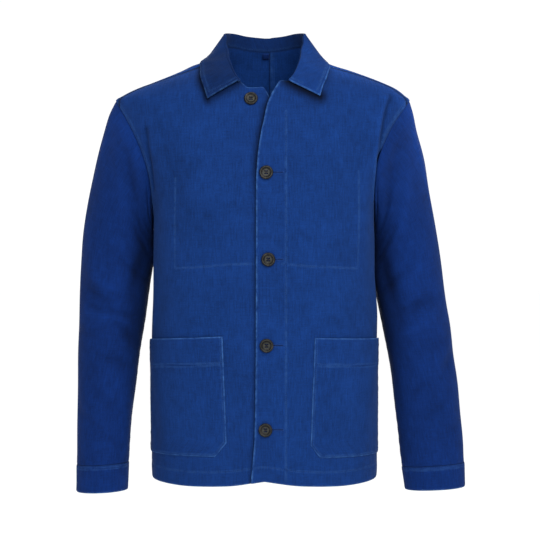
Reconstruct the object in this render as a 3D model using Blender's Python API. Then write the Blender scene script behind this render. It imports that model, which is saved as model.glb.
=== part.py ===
"""A hip-length chore jacket in cotton twill, closed down the front and filled out with nobody in it.

Metres, +Z up. The front faces -Y, so the wearer's right is at -X and the wearer's left at +X.
The origin lies between the shoulders, level with the back of the neck, where the wearer carries it.
Each cut piece of cloth is a thin closed wall of its own. All of them are laid on one torso form
and on two sleeve forms, and neighbours keep a small gap along their seam.
"""

import math
from collections import namedtuple

import bmesh
import bpy
import numpy as np
from mathutils import Vector

# Cloth and sewing
CLOTH = 0.0016
COLLAR_CLOTH = 0.0020
CUFF_CLOTH = 0.0022
INNER_POCKET_CLOTH = 0.0011
SEAM_GAP = 0.0003
LAID_ON = 0.0004  # from a panel to what lies on it
SMALL_TURN = 1e-3  # step for slopes, in radians
SMALL_DROP = 2e-4  # step for slopes, in metres
FRONT_SWEEP = (-25, 105)  # degrees round one level of a front, from beyond its free edge
BACK_SWEEP = (190, 75)
SWEEP_STEPS = 160
FINE_STEPS = 400  # along an edge before it is walked again in even steps
LEAST_SHARE = 0.4  # keeps a wall turned into a seam's plane from growing without end
HEM_CENTRE_Z = -0.7145

RIGHT = -1  # the wearer's right, at -X
LEFT = 1  # the wearer's left, at +X
SIDES = {RIGHT: "right", LEFT: "left"}

# The torso form: level sections from the neck down, each a rounded rectangle
Section = namedtuple("Section", "z right_half left_half front_depth back_depth squareness")
TORSO = [
    Section(0.030, 0.058, 0.058, 0.016, 0.056, 2.2),
    Section(0.010, 0.072, 0.072, 0.028, 0.067, 2.2),
    Section(-0.004, 0.0875, 0.0865, 0.041, 0.078, 2.2),
    Section(-0.0155, 0.1020, 0.1010, 0.053, 0.085, 2.3),
    Section(-0.0235, 0.1243, 0.1195, 0.060, 0.089, 2.3),
    Section(-0.0325, 0.1425, 0.1485, 0.068, 0.094, 2.3),
    Section(-0.053, 0.192, 0.2025, 0.087, 0.103, 2.35),
    Section(-0.063, 0.218, 0.2235, 0.093, 0.107, 2.4),
    Section(-0.073, 0.2385, 0.2365, 0.098, 0.110, 2.4),
    Section(-0.083, 0.2525, 0.2457, 0.102, 0.113, 2.4),
    Section(-0.105, 0.2475, 0.2420, 0.110, 0.118, 2.45),
    Section(-0.132, 0.2388, 0.2340, 0.118, 0.123, 2.5),
    Section(-0.179, 0.2176, 0.2140, 0.127, 0.127, 2.5),
    Section(-0.234, 0.1955, 0.1920, 0.134, 0.128, 2.5),
    Section(-0.275, 0.1880, 0.1855, 0.137, 0.126, 2.5),
    Section(-0.360, 0.1875, 0.1852, 0.137, 0.120, 2.5),
    Section(-0.450, 0.1905, 0.1905, 0.133, 0.114, 2.5),
    Section(-0.550, 0.1920, 0.1905, 0.128, 0.113, 2.5),
    Section(-0.640, 0.1915, 0.1905, 0.123, 0.115, 2.5),
    Section(-0.700, 0.1910, 0.1900, 0.119, 0.117, 2.5),
    Section(-0.730, 0.1895, 0.1885, 0.117, 0.117, 2.5),
]

# Height of the neck seam and of the hem, by the angle in degrees from centre front
NeckPoint = namedtuple("NeckPoint", "angle z")
NECKLINE = [
    NeckPoint(0, -0.0655),
    NeckPoint(15, -0.0640),
    NeckPoint(24, -0.0570),
    NeckPoint(34, -0.0430),
    NeckPoint(45, -0.0280),
    NeckPoint(60, -0.0115),
    NeckPoint(72, -0.0005),
    NeckPoint(83, 0.0100),
    NeckPoint(100, 0.0125),
    NeckPoint(130, 0.0140),
    NeckPoint(155, 0.0110),
    NeckPoint(180, 0.0090),
]
HemPoint = namedtuple("HemPoint", "angle z")
HEMLINE = [
    HemPoint(0, -0.7150),
    HemPoint(30, -0.7230),
    HemPoint(50, -0.7243),
    HemPoint(72, -0.7205),
    HemPoint(90, -0.7165),
    HemPoint(135, -0.7160),
    HemPoint(180, -0.7175),
]

# The two front edges: x of the buttonhole side, which lies on top, and of the button side below it
EdgePoint = namedtuple("EdgePoint", "z top_x under_x")
FRONT_EDGES = [
    EdgePoint(-0.0580, 0.0255, -0.0065),
    EdgePoint(-0.0660, 0.0205, -0.0016),
    EdgePoint(-0.0800, 0.0123, 0.0065),
    EdgePoint(-0.1010, 0.0041, 0.0150),
    EdgePoint(-0.1275, -0.0016, 0.0195),
    EdgePoint(-0.1420, -0.0051, 0.0207),
    EdgePoint(-0.1865, -0.0112, 0.0220),
    EdgePoint(-0.2320, -0.0135, 0.0220),
    EdgePoint(-0.4900, -0.0140, 0.0220),
    EdgePoint(-0.6370, -0.0159, 0.0215),
    EdgePoint(-0.7155, -0.0217, 0.0200),
]
TOP_CORNER_Z = {RIGHT: -0.0660, LEFT: -0.0580}
NeckStep = namedtuple("NeckStep", "x z")
NECK_STEPS = {  # where the neck edge turns, between the free edge and the collar's end
    RIGHT: NeckStep(-0.0285, -0.0668),
    LEFT: NeckStep(0.0330, -0.0575),
}
UNDERLAP_DEPTH = CLOTH + 0.0008
UNDERLAP_FROM_X = -0.050
UNDERLAP_FULL_X = -0.018
FLARE = 0.0040  # how far the open top of the buttonhole side turns forward
FLARE_WIDTH = 0.030
FLARE_FROM_Z = -0.165
FLARE_FULL_Z = -0.070

# Seams
SHOULDER_Z = -0.083
UNDERARM_Z = -0.275
ARMHOLE_BOW = {RIGHT: 0.018, LEFT: 0.026}
NECK_POINT_BETWEEN = (50, 90)  # degrees
SEAM_FORWARD_AT_NECK = 0.042
SEAM_FORWARD_AT_ARM = 0.026
CENTRE_BACK_X = 0.008
CENTRE_BACK_ANGLE = 176  # where the centre back seam meets the neck seam, in degrees
COLLAR_END_ANGLE = 24.0

# Steps along each edge of a panel
SIDE_STEPS = 12
ARMHOLE_STEPS = 12
SIDE_HOLD = (3.0, 1.5)  # how fast a panel's grid forgets its side edges, across and upward
TOP_HOLD = (3.0, 2.0)
FRONT_ROWS_CROWD = 1.3  # over 1 brings the rows closer together toward the neck
BACK_ROWS_CROWD = 1.0
FRONT_NECK_STEPS = 5
BACK_NECK_STEPS = 6
SHOULDER_STEPS = 6

# Soft folds: each is highest at its middle and fades to this share at its ends
FOLD_END_SHARE = 0.45
BODY_RADIUS = 0.150  # mean radius for turning degrees into metres
SLEEVE_RADIUS = 0.060
SLEEVE_LENGTH = 0.62

# Soft folds of the body: from one point to another, in degrees from centre front and metres
Fold = namedtuple("Fold", "angle_a z_a angle_b z_b width height")
BODY_FOLDS = [
    Fold(-66, -0.165, -63, -0.330, 0.016, 0.0030),
    Fold(-58, -0.130, -52, -0.250, 0.013, -0.0022),
    Fold(66, -0.120, 64, -0.350, 0.016, 0.0032),
    Fold(57, -0.115, 52, -0.260, 0.013, -0.0022),
    Fold(-17, -0.120, -24, -0.210, 0.020, -0.0016),
    Fold(20, -0.130, 27, -0.230, 0.022, -0.0014),
    Fold(-13, -0.560, -11, -0.715, 0.010, 0.0018),
    Fold(-20, -0.540, -18, -0.715, 0.013, -0.0014),
    Fold(75, -0.560, 72, -0.700, 0.016, -0.0022),
    Fold(-74, -0.575, -72, -0.700, 0.015, -0.0020),
    Fold(-118, -0.180, -126, -0.400, 0.020, -0.0032),
    Fold(-132, -0.160, -139, -0.340, 0.018, 0.0026),
    Fold(117, -0.190, 124, -0.430, 0.021, -0.0030),
    Fold(133, -0.150, 141, -0.320, 0.018, 0.0024),
    Fold(-150, -0.430, -146, -0.640, 0.024, -0.0024),
    Fold(154, -0.400, 149, -0.600, 0.022, -0.0026),
]

# Sleeves: outer and inner line in the XZ plane, from the armhole to the cuff seam
SleeveRow = namedtuple("SleeveRow", "share outer_x outer_z inner_x inner_z centre_y girth")
SLEEVES = {
    RIGHT: [
        SleeveRow(0.00, 0.2525, -0.083, 0.1880, -0.275, 0.000, 0.500),
        SleeveRow(0.06, 0.2640, -0.105, 0.1890, -0.285, 0.003, 0.490),
        SleeveRow(0.13, 0.2735, -0.135, 0.1890, -0.298, 0.010, 0.470),
        SleeveRow(0.22, 0.2890, -0.185, 0.1872, -0.314, 0.022, 0.445),
        SleeveRow(0.32, 0.3035, -0.255, 0.1868, -0.338, 0.029, 0.420),
        SleeveRow(0.42, 0.3135, -0.330, 0.1940, -0.372, 0.028, 0.400),
        SleeveRow(0.50, 0.3160, -0.395, 0.1985, -0.410, 0.022, 0.380),
        SleeveRow(0.62, 0.3168, -0.465, 0.2060, -0.465, 0.010, 0.350),
        SleeveRow(0.76, 0.3170, -0.545, 0.2165, -0.545, -0.003, 0.322),
        SleeveRow(0.88, 0.3165, -0.620, 0.2250, -0.617, -0.014, 0.298),
        SleeveRow(1.00, 0.3165, -0.696, 0.2290, -0.691, -0.024, 0.278),
    ],
    LEFT: [
        SleeveRow(0.00, 0.2457, -0.083, 0.1855, -0.275, 0.000, 0.500),
        SleeveRow(0.06, 0.2525, -0.105, 0.1866, -0.285, 0.003, 0.490),
        SleeveRow(0.13, 0.2595, -0.135, 0.1866, -0.298, 0.010, 0.470),
        SleeveRow(0.22, 0.2755, -0.190, 0.1850, -0.316, 0.022, 0.445),
        SleeveRow(0.32, 0.2865, -0.258, 0.1845, -0.342, 0.029, 0.420),
        SleeveRow(0.42, 0.2995, -0.332, 0.1846, -0.378, 0.030, 0.400),
        SleeveRow(0.50, 0.3060, -0.392, 0.1912, -0.414, 0.025, 0.382),
        SleeveRow(0.62, 0.3160, -0.463, 0.2018, -0.468, 0.012, 0.355),
        SleeveRow(0.76, 0.3250, -0.545, 0.2160, -0.550, -0.003, 0.328),
        SleeveRow(0.88, 0.3315, -0.620, 0.2240, -0.626, -0.014, 0.305),
        SleeveRow(1.00, 0.3365, -0.692, 0.2315, -0.699, -0.024, 0.285),
    ],
}
CUFF_END = {  # outer and inner corner of the cuff's free edge
    RIGHT: SleeveRow(1.00, 0.3165, -0.741, 0.2305, -0.7375, -0.028, 0.276),
    LEFT: SleeveRow(1.00, 0.3370, -0.7325, 0.2365, -0.7375, -0.028, 0.283),
}
SLEEVE_STEPS = 22
CUFF_STEPS = 3
CUFF_STANDS_OUT = 0.0006
ROUND_BY = 0.34  # share of the sleeve by which the armhole's shape has become an oval

# Soft folds of the sleeves, by share of the length and degrees round: 0 outer, 90 front, 180 inner
SleeveFold = namedtuple("SleeveFold", "share_a turn_a share_b turn_b width height")
SLEEVE_FOLDS = {
    RIGHT: [
        SleeveFold(0.10, 75, 0.26, 128, 0.011, -0.0045),
        SleeveFold(0.13, 52, 0.30, 100, 0.014, 0.0026),
        SleeveFold(0.34, 140, 0.52, 122, 0.011, -0.0036),
        SleeveFold(0.50, 30, 0.545, 96, 0.011, -0.0042),
        SleeveFold(0.575, 40, 0.60, 118, 0.012, 0.0030),
        SleeveFold(0.60, 95, 0.67, 150, 0.010, -0.0036),
        SleeveFold(0.80, 60, 0.86, 125, 0.012, -0.0022),
        SleeveFold(0.16, -70, 0.34, -125, 0.013, -0.0042),
        SleeveFold(0.52, -48, 0.57, -118, 0.012, -0.0044),
        SleeveFold(0.62, -60, 0.68, -130, 0.013, -0.0030),
    ],
    LEFT: [
        SleeveFold(0.09, 70, 0.25, 130, 0.012, -0.0040),
        SleeveFold(0.14, 50, 0.31, 96, 0.014, 0.0024),
        SleeveFold(0.36, 138, 0.55, 124, 0.011, -0.0036),
        SleeveFold(0.52, 60, 0.58, 120, 0.012, -0.0034),
        SleeveFold(0.70, 24, 0.76, 62, 0.012, -0.0030),
        SleeveFold(0.84, 70, 0.90, 130, 0.012, -0.0020),
        SleeveFold(0.17, -66, 0.35, -120, 0.013, -0.0040),
        SleeveFold(0.54, -44, 0.58, -112, 0.012, -0.0042),
        SleeveFold(0.63, -64, 0.70, -128, 0.013, -0.0028),
    ],
}

# Collar: stand and fall in one, by the neck seam's angle from centre front
CollarRow = namedtuple("CollarRow", "neck_angle stand lean edge_angle edge_z rise_right rise_left")
COLLAR = [
    CollarRow(24, 0.0030, 0.0020, 42.9, -0.0885, 0.0000, 0.0060),
    CollarRow(34, 0.0060, 0.0005, 46.0, -0.0748, 0.0000, 0.0054),
    CollarRow(45, 0.0100, -0.0010, 51.8, -0.0571, 0.0000, 0.0036),
    CollarRow(60, 0.0115, -0.0050, 63.0, -0.0364, 0.0008, 0.0015),
    CollarRow(72, 0.0150, -0.0035, 75.0, -0.0235, 0.0030, 0.0000),
    CollarRow(84, 0.0205, -0.0025, 87.5, -0.0172, 0.0018, 0.0000),
    CollarRow(100, 0.0225, -0.0035, 100.5, -0.0160, 0.0000, 0.0000),
    CollarRow(130, 0.0248, 0.0010, 131.0, -0.0185, 0.0000, 0.0000),
    CollarRow(155, 0.0255, 0.0035, 156.0, -0.0210, 0.0000, 0.0000),
    CollarRow(180, 0.0252, 0.0045, 180.0, -0.0220, 0.0000, 0.0000),
]
ROLL_RADIUS = 0.0022
COLLAR_CLEARANCE = 0.0038
COLLAR_SETTLE_TURNS = 4
SETTLE_REACH = 4.0  # how far from the form, in its own measure, a point may still settle
STAND_STEPS = 3
ROLL_STEPS = 4
FALL_STEPS = 6

# Patch pockets
PocketCut = namedtuple(
    "PocketCut", "inner_top_x inner_bottom_x cut_x top_inner_z top_outer_z cut_top_z bottom_z"
)
POCKETS = {
    RIGHT: PocketCut(-0.0680, -0.0620, -0.0805, -0.4774, -0.4860, -0.6513, -0.6744),
    LEFT: PocketCut(0.0817, 0.0753, 0.0908, -0.4800, -0.4840, -0.6554, -0.6768),
}
POCKET_OUTER_ANGLE = 88.6
POCKET_BAND = 0.041
BAND_STANDS_OUT = 0.0005
MOUTH_STANDS_OFF = 0.0028
MOUTH_FADES_OVER = 0.070
MOUTH_ARCH_FROM = 0.12  # where on a half wave the mouth's inner and outer end lie
MOUTH_ARCH_TO = 0.92
POCKET_ROWS = 12
POCKET_CUT_ROWS = 2
POCKET_COLUMNS = 13

# Inside chest pockets, sewn to the back of each front
Inside = namedtuple("Inside", "edge_x side_x top_z bottom_z")
INNER_POCKETS = {
    RIGHT: Inside(-0.056, -0.149, -0.215, -0.363),
    LEFT: Inside(0.030, 0.156, -0.206, -0.363),
}
CLOSE_STEP = 0.25  # share of a step within which two columns or rows count as one

# Buttons
ButtonPlace = namedtuple("ButtonPlace", "x z on_under_front")
BUTTONS = [
    ButtonPlace(-0.0223, -0.0870, True),
    ButtonPlace(0.0028, -0.2104, False),
    ButtonPlace(0.0062, -0.3520, False),
    ButtonPlace(0.0033, -0.4920, False),
    ButtonPlace(0.0015, -0.6300, False),
]
BUTTON_RADIUS = 0.0114
ButtonRing = namedtuple("ButtonRing", "radius_share height")
BUTTON_PROFILE = [
    ButtonRing(0.80, 0.0000),
    ButtonRing(1.00, 0.0011),
    ButtonRing(0.99, 0.0025),
    ButtonRing(0.88, 0.0034),
    ButtonRing(0.70, 0.0033),
    ButtonRing(0.52, 0.0024),
    ButtonRing(0.30, 0.0022),
]
BUTTON_SIDES = 18
BUTTON_OFF_CLOTH = 0.0009
HOLE_RADIUS = 0.0011
HOLE_OFFSET = 0.0021
HOLE_SIDES = 6
HOLE_CUT_DEPTH = 0.010

# Small neck tab inside the back neck, beside the centre back seam
NECK_TAB = Inside(0.0072, -0.0040, 0.0070, -0.0012)
TAB_THICKNESS = 0.0010

SHARP_ANGLE = 55  # degrees between faces from which an edge is drawn sharp
TWILL_BLUE = (0.012, 0.050, 0.215, 1.0)
HORN_BLACK = (0.020, 0.016, 0.014, 1.0)
TAB_NAVY = (0.008, 0.012, 0.035, 1.0)


class Smooth:
    """A smooth curve through a table's column that never overshoots a row."""

    def __init__(self, at, values):
        order = np.argsort(at)
        self.at = np.array(at, float)[order]
        self.values = np.array(values, float)[order]
        grade = np.diff(self.values) / np.diff(self.at)
        self.slopes = np.concatenate([[grade[0]], np.zeros(len(grade) - 1), [grade[-1]]])
        for i in range(1, len(grade)):
            before, after = grade[i - 1], grade[i]
            if before * after > 0:
                self.slopes[i] = 2 * before * after / (before + after)

    def __call__(self, x):
        x = np.clip(x, self.at[0], self.at[-1])
        i = np.clip(np.searchsorted(self.at, x) - 1, 0, len(self.at) - 2)
        span = self.at[i + 1] - self.at[i]
        t = (x - self.at[i]) / span
        low, high = self.values[i], self.values[i + 1]
        rise_low, rise_high = self.slopes[i] * span, self.slopes[i + 1] * span
        return (
            low * (2 * t**3 - 3 * t**2 + 1)
            + rise_low * (t**3 - 2 * t**2 + t)
            + high * (3 * t**2 - 2 * t**3)
            + rise_high * (t**3 - t**2)
        )


def columns(table, key):
    """One smooth curve for each named column of a table, read by its key column."""
    names = [name for name in table[0]._fields if name != key]
    at = [getattr(row, key) for row in table]
    return {name: Smooth(at, [getattr(row, name) for row in table]) for name in names}


TORSO_AT = columns(TORSO, "z")
NECK_AT = columns(NECKLINE, "angle")["z"]
HEM_AT = columns(HEMLINE, "angle")["z"]
EDGE_AT = columns(FRONT_EDGES, "z")
COLLAR_AT = columns(COLLAR, "neck_angle")
SLEEVE_AT = {side: columns(rows, "share") for side, rows in SLEEVES.items()}


def ease(x, start, full):
    """0 before start, 1 past full, and smooth between them."""
    t = np.clip((x - start) / (full - start), 0, 1)
    return t * t * (3 - 2 * t)


def unit(v):
    return v / np.maximum(np.linalg.norm(v, axis=-1, keepdims=True), 1e-12)


def half_width(side, z):
    return TORSO_AT["left_half" if side == LEFT else "right_half"](z)


def torso(angle, z):
    """The bare form at an angle from centre front, positive toward the wearer's left."""
    angle, z = np.broadcast_arrays(np.asarray(angle, float), np.asarray(z, float))
    across = np.where(np.sin(angle) >= 0, half_width(LEFT, z), half_width(RIGHT, z))
    deep = np.where(np.cos(angle) >= 0, TORSO_AT["front_depth"](z), TORSO_AT["back_depth"](z))
    power = TORSO_AT["squareness"](z)
    reach = (np.abs(np.sin(angle) / across) ** power + np.abs(np.cos(angle) / deep) ** power) ** (-1 / power)
    return np.stack([reach * np.sin(angle), -reach * np.cos(angle), z], axis=-1)


def outward(angle, z):
    """The form's outward direction."""
    along = torso(angle + SMALL_TURN, z) - torso(angle - SMALL_TURN, z)
    up = torso(angle, z + SMALL_DROP) - torso(angle, z - SMALL_DROP)
    return unit(np.cross(along, up))


def to_segment(u, v, u_a, v_a, u_b, v_b):
    """Distance of points from a segment, all in metres."""
    du, dv = u_b - u_a, v_b - v_a
    t = np.clip(((u - u_a) * du + (v - v_a) * dv) / (du * du + dv * dv), 0, 1)
    return np.hypot(u - u_a - t * du, v - v_a - t * dv), t


def fold_height(fold, away, along):
    fade = FOLD_END_SHARE + (1 - FOLD_END_SHARE) * np.sin(math.pi * along)
    return fold.height * fade * np.exp(-((away / fold.width) ** 2))


def body_folds(angle, z):
    """Height of the body's soft folds over the form."""
    around = np.mod(angle + math.pi, 2 * math.pi) - math.pi
    total = np.zeros(np.broadcast(angle, z).shape)
    for fold in BODY_FOLDS:
        u_a, u_b = math.radians(fold.angle_a) * BODY_RADIUS, math.radians(fold.angle_b) * BODY_RADIUS
        away, t = to_segment(around * BODY_RADIUS, z, u_a, fold.z_a, u_b, fold.z_b)
        total = total + fold_height(fold, away, t)
    return total


def body(angle, z, lift=0.0):
    """A point of the body's outer face, lifted off it by some distance."""
    angle, z = np.broadcast_arrays(np.asarray(angle, float), np.asarray(z, float))
    return torso(angle, z) + outward(angle, z) * np.expand_dims(body_folds(angle, z) + lift, -1)


def angle_at_x(x, z, front=True, side=LEFT):
    """The angle where the form has this x at this height, on its front or back."""
    half = np.where(np.asarray(x) >= 0, half_width(LEFT, z), half_width(RIGHT, z))
    deep = TORSO_AT["front_depth" if front else "back_depth"](z)
    power = TORSO_AT["squareness"](z)
    y = deep * np.clip(1 - np.clip(np.abs(x) / half, 0, 1) ** power, 0, 1) ** (1 / power)
    if front:
        return np.arctan2(x, y)
    angle = np.arctan2(x, -y)
    return angle - 2 * math.pi * (side == RIGHT) * (angle > 0)


def angle_at_seam(side, forward, z):
    """The angle on a side where the form is this far forward of its ridge."""
    power = TORSO_AT["squareness"](z)
    x = half_width(side, z) * (1 - (forward / TORSO_AT["front_depth"](z)) ** power) ** (1 / power)
    return side * np.arctan2(x, forward)


def even(path, steps):
    """A path of (angle, z) points walked again in even steps along the body."""
    run = np.linalg.norm(np.diff(torso(path[:, 0], path[:, 1]), axis=0), axis=1)
    run = np.concatenate([[0], np.cumsum(run)])
    at = np.linspace(0, run[-1], steps + 1)
    return np.stack([np.interp(at, run, path[:, 0]), np.interp(at, run, path[:, 1])], axis=1)


def joined(*paths):
    """Paths that follow each other, with their shared points once."""
    return np.concatenate([paths[0]] + [path[1:] for path in paths[1:]])


def straight(start, end, steps):
    share = np.linspace(0, 1, steps + 1)[:, None]
    return np.asarray(start) * (1 - share) + np.asarray(end) * share


def armhole_path(side):
    """The armhole as (angle, z): from the underarm up the front, over the ridge and down the back."""
    share = (1 - np.cos(np.linspace(0, math.pi, FINE_STEPS))) / 2
    z = UNDERARM_Z + (SHOULDER_Z - UNDERARM_Z) * share
    low, high = half_width(side, UNDERARM_Z), half_width(side, SHOULDER_Z)
    x = low + (high - low) * share - ARMHOLE_BOW[side] * np.sin(math.pi * share)
    x = side * np.minimum(x, half_width(side, z))
    front = np.stack([angle_at_x(x, z), z], axis=1)
    back = np.stack([angle_at_x(x, z, False, side), z], axis=1)
    front_y = torso(front[:, 0], front[:, 1])[:, 1]
    top = len(z) - 1 - int(np.argmax(front_y[::-1] < -SEAM_FORWARD_AT_ARM))
    return front[: top + 1], joined(front[top:], back[::-1])


def neck_z(angle):
    return NECK_AT(np.abs(np.degrees(angle)))


def neck_path(side, start, end, steps):
    """The neck seam between two angles, given in degrees from centre front."""
    angle = side * np.radians(np.linspace(start, end, FINE_STEPS))
    return even(np.stack([angle, neck_z(angle)], axis=1), steps)


def neck_point_angle():
    """Degrees from centre front where the shoulder seams meet the neck seam."""
    degrees = np.linspace(*NECK_POINT_BETWEEN, FINE_STEPS)
    angle = np.radians(degrees)
    y = torso(angle, neck_z(angle))[:, 1]
    return float(np.interp(-SEAM_FORWARD_AT_NECK, y, degrees))


NECK_POINT = neck_point_angle()


def shoulder_path(side, arm_end):
    """The shoulder seam from the neck seam to the armhole."""
    neck_height = float(neck_z(math.radians(NECK_POINT)))
    z = np.linspace(neck_height, arm_end[1], FINE_STEPS)
    share = (neck_height - z) / (neck_height - arm_end[1])
    forward = SEAM_FORWARD_AT_NECK + (SEAM_FORWARD_AT_ARM - SEAM_FORWARD_AT_NECK) * share
    path = np.stack([angle_at_seam(side, forward, z), z], axis=1)
    path[0] = side * math.radians(NECK_POINT), neck_height
    path[-1] = arm_end
    return even(path, SHOULDER_STEPS)


def front_edge_x(side, z):
    return EDGE_AT["top_x" if side == LEFT else "under_x"](z)


def climb(hem_z, top_z, crowd):
    """Heights up a panel's centre: even below the underarm, closer together above it."""
    share = 1 - (1 - np.linspace(0, 1, ARMHOLE_STEPS + 1)) ** crowd
    upper = UNDERARM_Z + (top_z - UNDERARM_Z) * share
    return np.concatenate([np.linspace(hem_z, UNDERARM_Z, SIDE_STEPS + 1), upper[1:]])


def centre_front_path(side):
    """A front's free edge from the hem to its top corner."""
    hem_angle = angle_at_x(front_edge_x(side, HEM_CENTRE_Z), HEM_CENTRE_Z)
    hem_z = float(HEM_AT(abs(math.degrees(hem_angle))))
    z = climb(hem_z, TOP_CORNER_Z[side], FRONT_ROWS_CROWD)
    return np.stack([angle_at_x(front_edge_x(side, z), z), z], axis=1)


def centre_back_path(side):
    """The centre back seam from the hem to the neck."""
    z = climb(float(HEM_AT(180)), float(NECK_AT(CENTRE_BACK_ANGLE)), BACK_ROWS_CROWD)
    return np.stack([angle_at_x(CENTRE_BACK_X, z, False, side), z], axis=1)


def hem_path(side, start, end, steps):
    angle = np.linspace(start, end, FINE_STEPS)
    return even(np.stack([angle, HEM_AT(np.abs(np.degrees(angle)))], axis=1), steps)


def side_path(side):
    """The side seam from the hem to the underarm."""
    return straight(
        (side * math.pi / 2, float(HEM_AT(90))), (side * math.pi / 2, UNDERARM_Z), SIDE_STEPS
    )


def level_table(side, is_front, z):
    """Angles round one level of the form, and the run of cloth to each from centre front or back."""
    sweep = FRONT_SWEEP if is_front else BACK_SWEEP
    turns = side * np.radians(np.linspace(*sweep, SWEEP_STEPS))
    points = torso(turns, z)
    run = np.concatenate([[0], np.cumsum(np.linalg.norm(np.diff(points, axis=0), axis=1))])
    centre = 0.0 if is_front else side * math.pi
    return turns, run - np.interp(side * centre, side * turns[:: 1 if is_front else -1],
                                  run[:: 1 if is_front else -1])


def to_run(side, is_front, path):
    """A path of (angle, z) points as (run, z), which is nearly the flat cut of the cloth."""
    flat = np.array(path, float)
    for point in flat:
        turns, run = level_table(side, is_front, point[1])
        order = np.argsort(side * turns)
        point[0] = np.interp(side * point[0], side * turns[order], run[order])
    return flat


def patch(side, is_front, bottom, right, top, left):
    """A grid of (angle, z) inside four edges, spread evenly over the flat cut of the cloth."""
    flat = [to_run(side, is_front, edge) for edge in (bottom, right, top, left)]
    grid = coons(*flat, SIDE_HOLD, TOP_HOLD)
    for point in grid.reshape(-1, 2):
        turns, run = level_table(side, is_front, point[1])
        point[0] = np.interp(point[0], run, turns)
    grid[0], grid[-1], grid[:, 0], grid[:, -1] = bottom, top, left, right
    return grid


def coons(bottom, right, top, left, side_hold=(1, 1), top_hold=(1, 1)):
    """A grid inside four edges; bottom and top run to the right, left and right upward.

    The holds say how fast it forgets the bends of its edges, for each of the two coordinates.
    """
    u = np.linspace(0, 1, len(bottom))[None, :, None]
    v = np.linspace(0, 1, len(left))[:, None, None]
    low = bottom[0] * (1 - u) + bottom[-1] * u
    high = top[0] * (1 - u) + top[-1] * u
    grid = low * (1 - v) + high * v
    from_left, from_right = left[:, None] - grid[:, :1], right[:, None] - grid[:, -1:]
    from_bottom, from_top = bottom[None] - grid[:1], top[None] - grid[-1:]
    grid = grid + from_left * (1 - u) ** np.array(side_hold) + from_right * u ** np.array(side_hold)
    return grid + from_bottom * (1 - v) ** np.array(top_hold) + from_top * v ** np.array(top_hold)


def underlap(points_x):
    """How far the button side is tucked in behind the buttonhole side."""
    return -UNDERLAP_DEPTH * ease(points_x, UNDERLAP_FROM_X, UNDERLAP_FULL_X)


def flare(points_x, z):
    """How far the open top of the buttonhole side turns forward."""
    inside = np.clip((points_x - EDGE_AT["top_x"](z)) / FLARE_WIDTH, 0, 1)
    return FLARE * (1 - inside) ** 2 * ease(z, FLARE_FROM_Z, FLARE_FULL_Z)


def front_lift(side, angle, z):
    x = torso(angle, z)[..., 0]
    return flare(x, z) if side == LEFT else underlap(x)


def front_point(side, angle, z, lift=0.0):
    """A point of one front's outer face, with its own tuck or flare."""
    return body(angle, z, lift + front_lift(side, angle, z))


def face_normals(grid):
    """Outward directions of a grid of points whose columns run round and rows run up."""
    along = np.gradient(grid, axis=1)
    up = np.gradient(grid, axis=0)
    return unit(np.cross(along, up))


def in_plane(wall, plane_normal, thickness):
    """A wall direction turned into a seam's plane and made long enough to keep the thickness."""
    flat = wall - np.sum(wall * plane_normal, axis=-1, keepdims=True) * plane_normal
    flat = unit(flat)
    share = np.maximum(np.sum(flat * unit(wall), axis=-1, keepdims=True), LEAST_SHARE)
    return flat * thickness / share


def armhole(side):
    """The armhole's ring: its points, and how the body's wall and the sleeve's wall leave it."""
    front_path, back_path = armhole_path(side)
    ring = joined(even(front_path, ARMHOLE_STEPS), even(back_path, ARMHOLE_STEPS))[:-1]
    points = body(ring[:, 0], ring[:, 1])
    run = unit(np.roll(points, -1, axis=0) - np.roll(points, 1, axis=0))
    inward = -outward(ring[:, 0], ring[:, 1])
    from_body = unit(side * np.cross(run, -inward))
    first = sleeve_ring(side, 1 / SLEEVE_STEPS, points)
    into_sleeve = first - points
    into_sleeve = unit(into_sleeve - np.sum(into_sleeve * run, axis=1, keepdims=True) * run)
    sleeve_inward = unit(np.cross(run, into_sleeve))
    centre = points.mean(axis=0)
    facing = np.sum(sleeve_inward * (centre - points), axis=1)
    sleeve_inward = sleeve_inward * np.sign(facing.sum())
    convex = np.sum(into_sleeve * inward, axis=1, keepdims=True) > 0
    middle = unit(inward + sleeve_inward)
    length = CLOTH / np.maximum(np.sum(middle * inward, axis=1, keepdims=True), LEAST_SHARE)
    body_wall = np.where(convex, middle * length, inward * CLOTH)
    sleeve_wall = np.where(convex, middle * length, sleeve_inward * CLOTH)
    across = unit(into_sleeve + from_body)
    body_wall[ARMHOLE_STEPS, 1] = 0
    body_wall[0] = (-side * CLOTH, 0, 0)
    return {"ring": ring, "points": points, "body_wall": body_wall,
            "sleeve_wall": sleeve_wall, "across": across}


def oval_depth(half, girth):
    """Half the depth of an oval of this half width and girth."""
    depth = np.maximum(girth / math.pi - half, 0.2 * half)
    for _ in range(6):
        h = ((half - depth) / (half + depth)) ** 2
        depth = girth / (math.pi * (1 + 3 * h / (10 + np.sqrt(4 - 3 * h)))) - half
    return depth


def sleeve_frame(side, row):
    """Centre, half axis toward the outer line, and half depth of one ring of the sleeve."""
    outer = np.array([side * row["outer_x"], 0, row["outer_z"]])
    inner = np.array([side * row["inner_x"], 0, row["inner_z"]])
    centre = (outer + inner) / 2 + np.array([0, row["centre_y"], 0])
    axis = (outer - inner) / 2
    return centre, axis, oval_depth(np.linalg.norm(axis), row["girth"])


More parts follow.
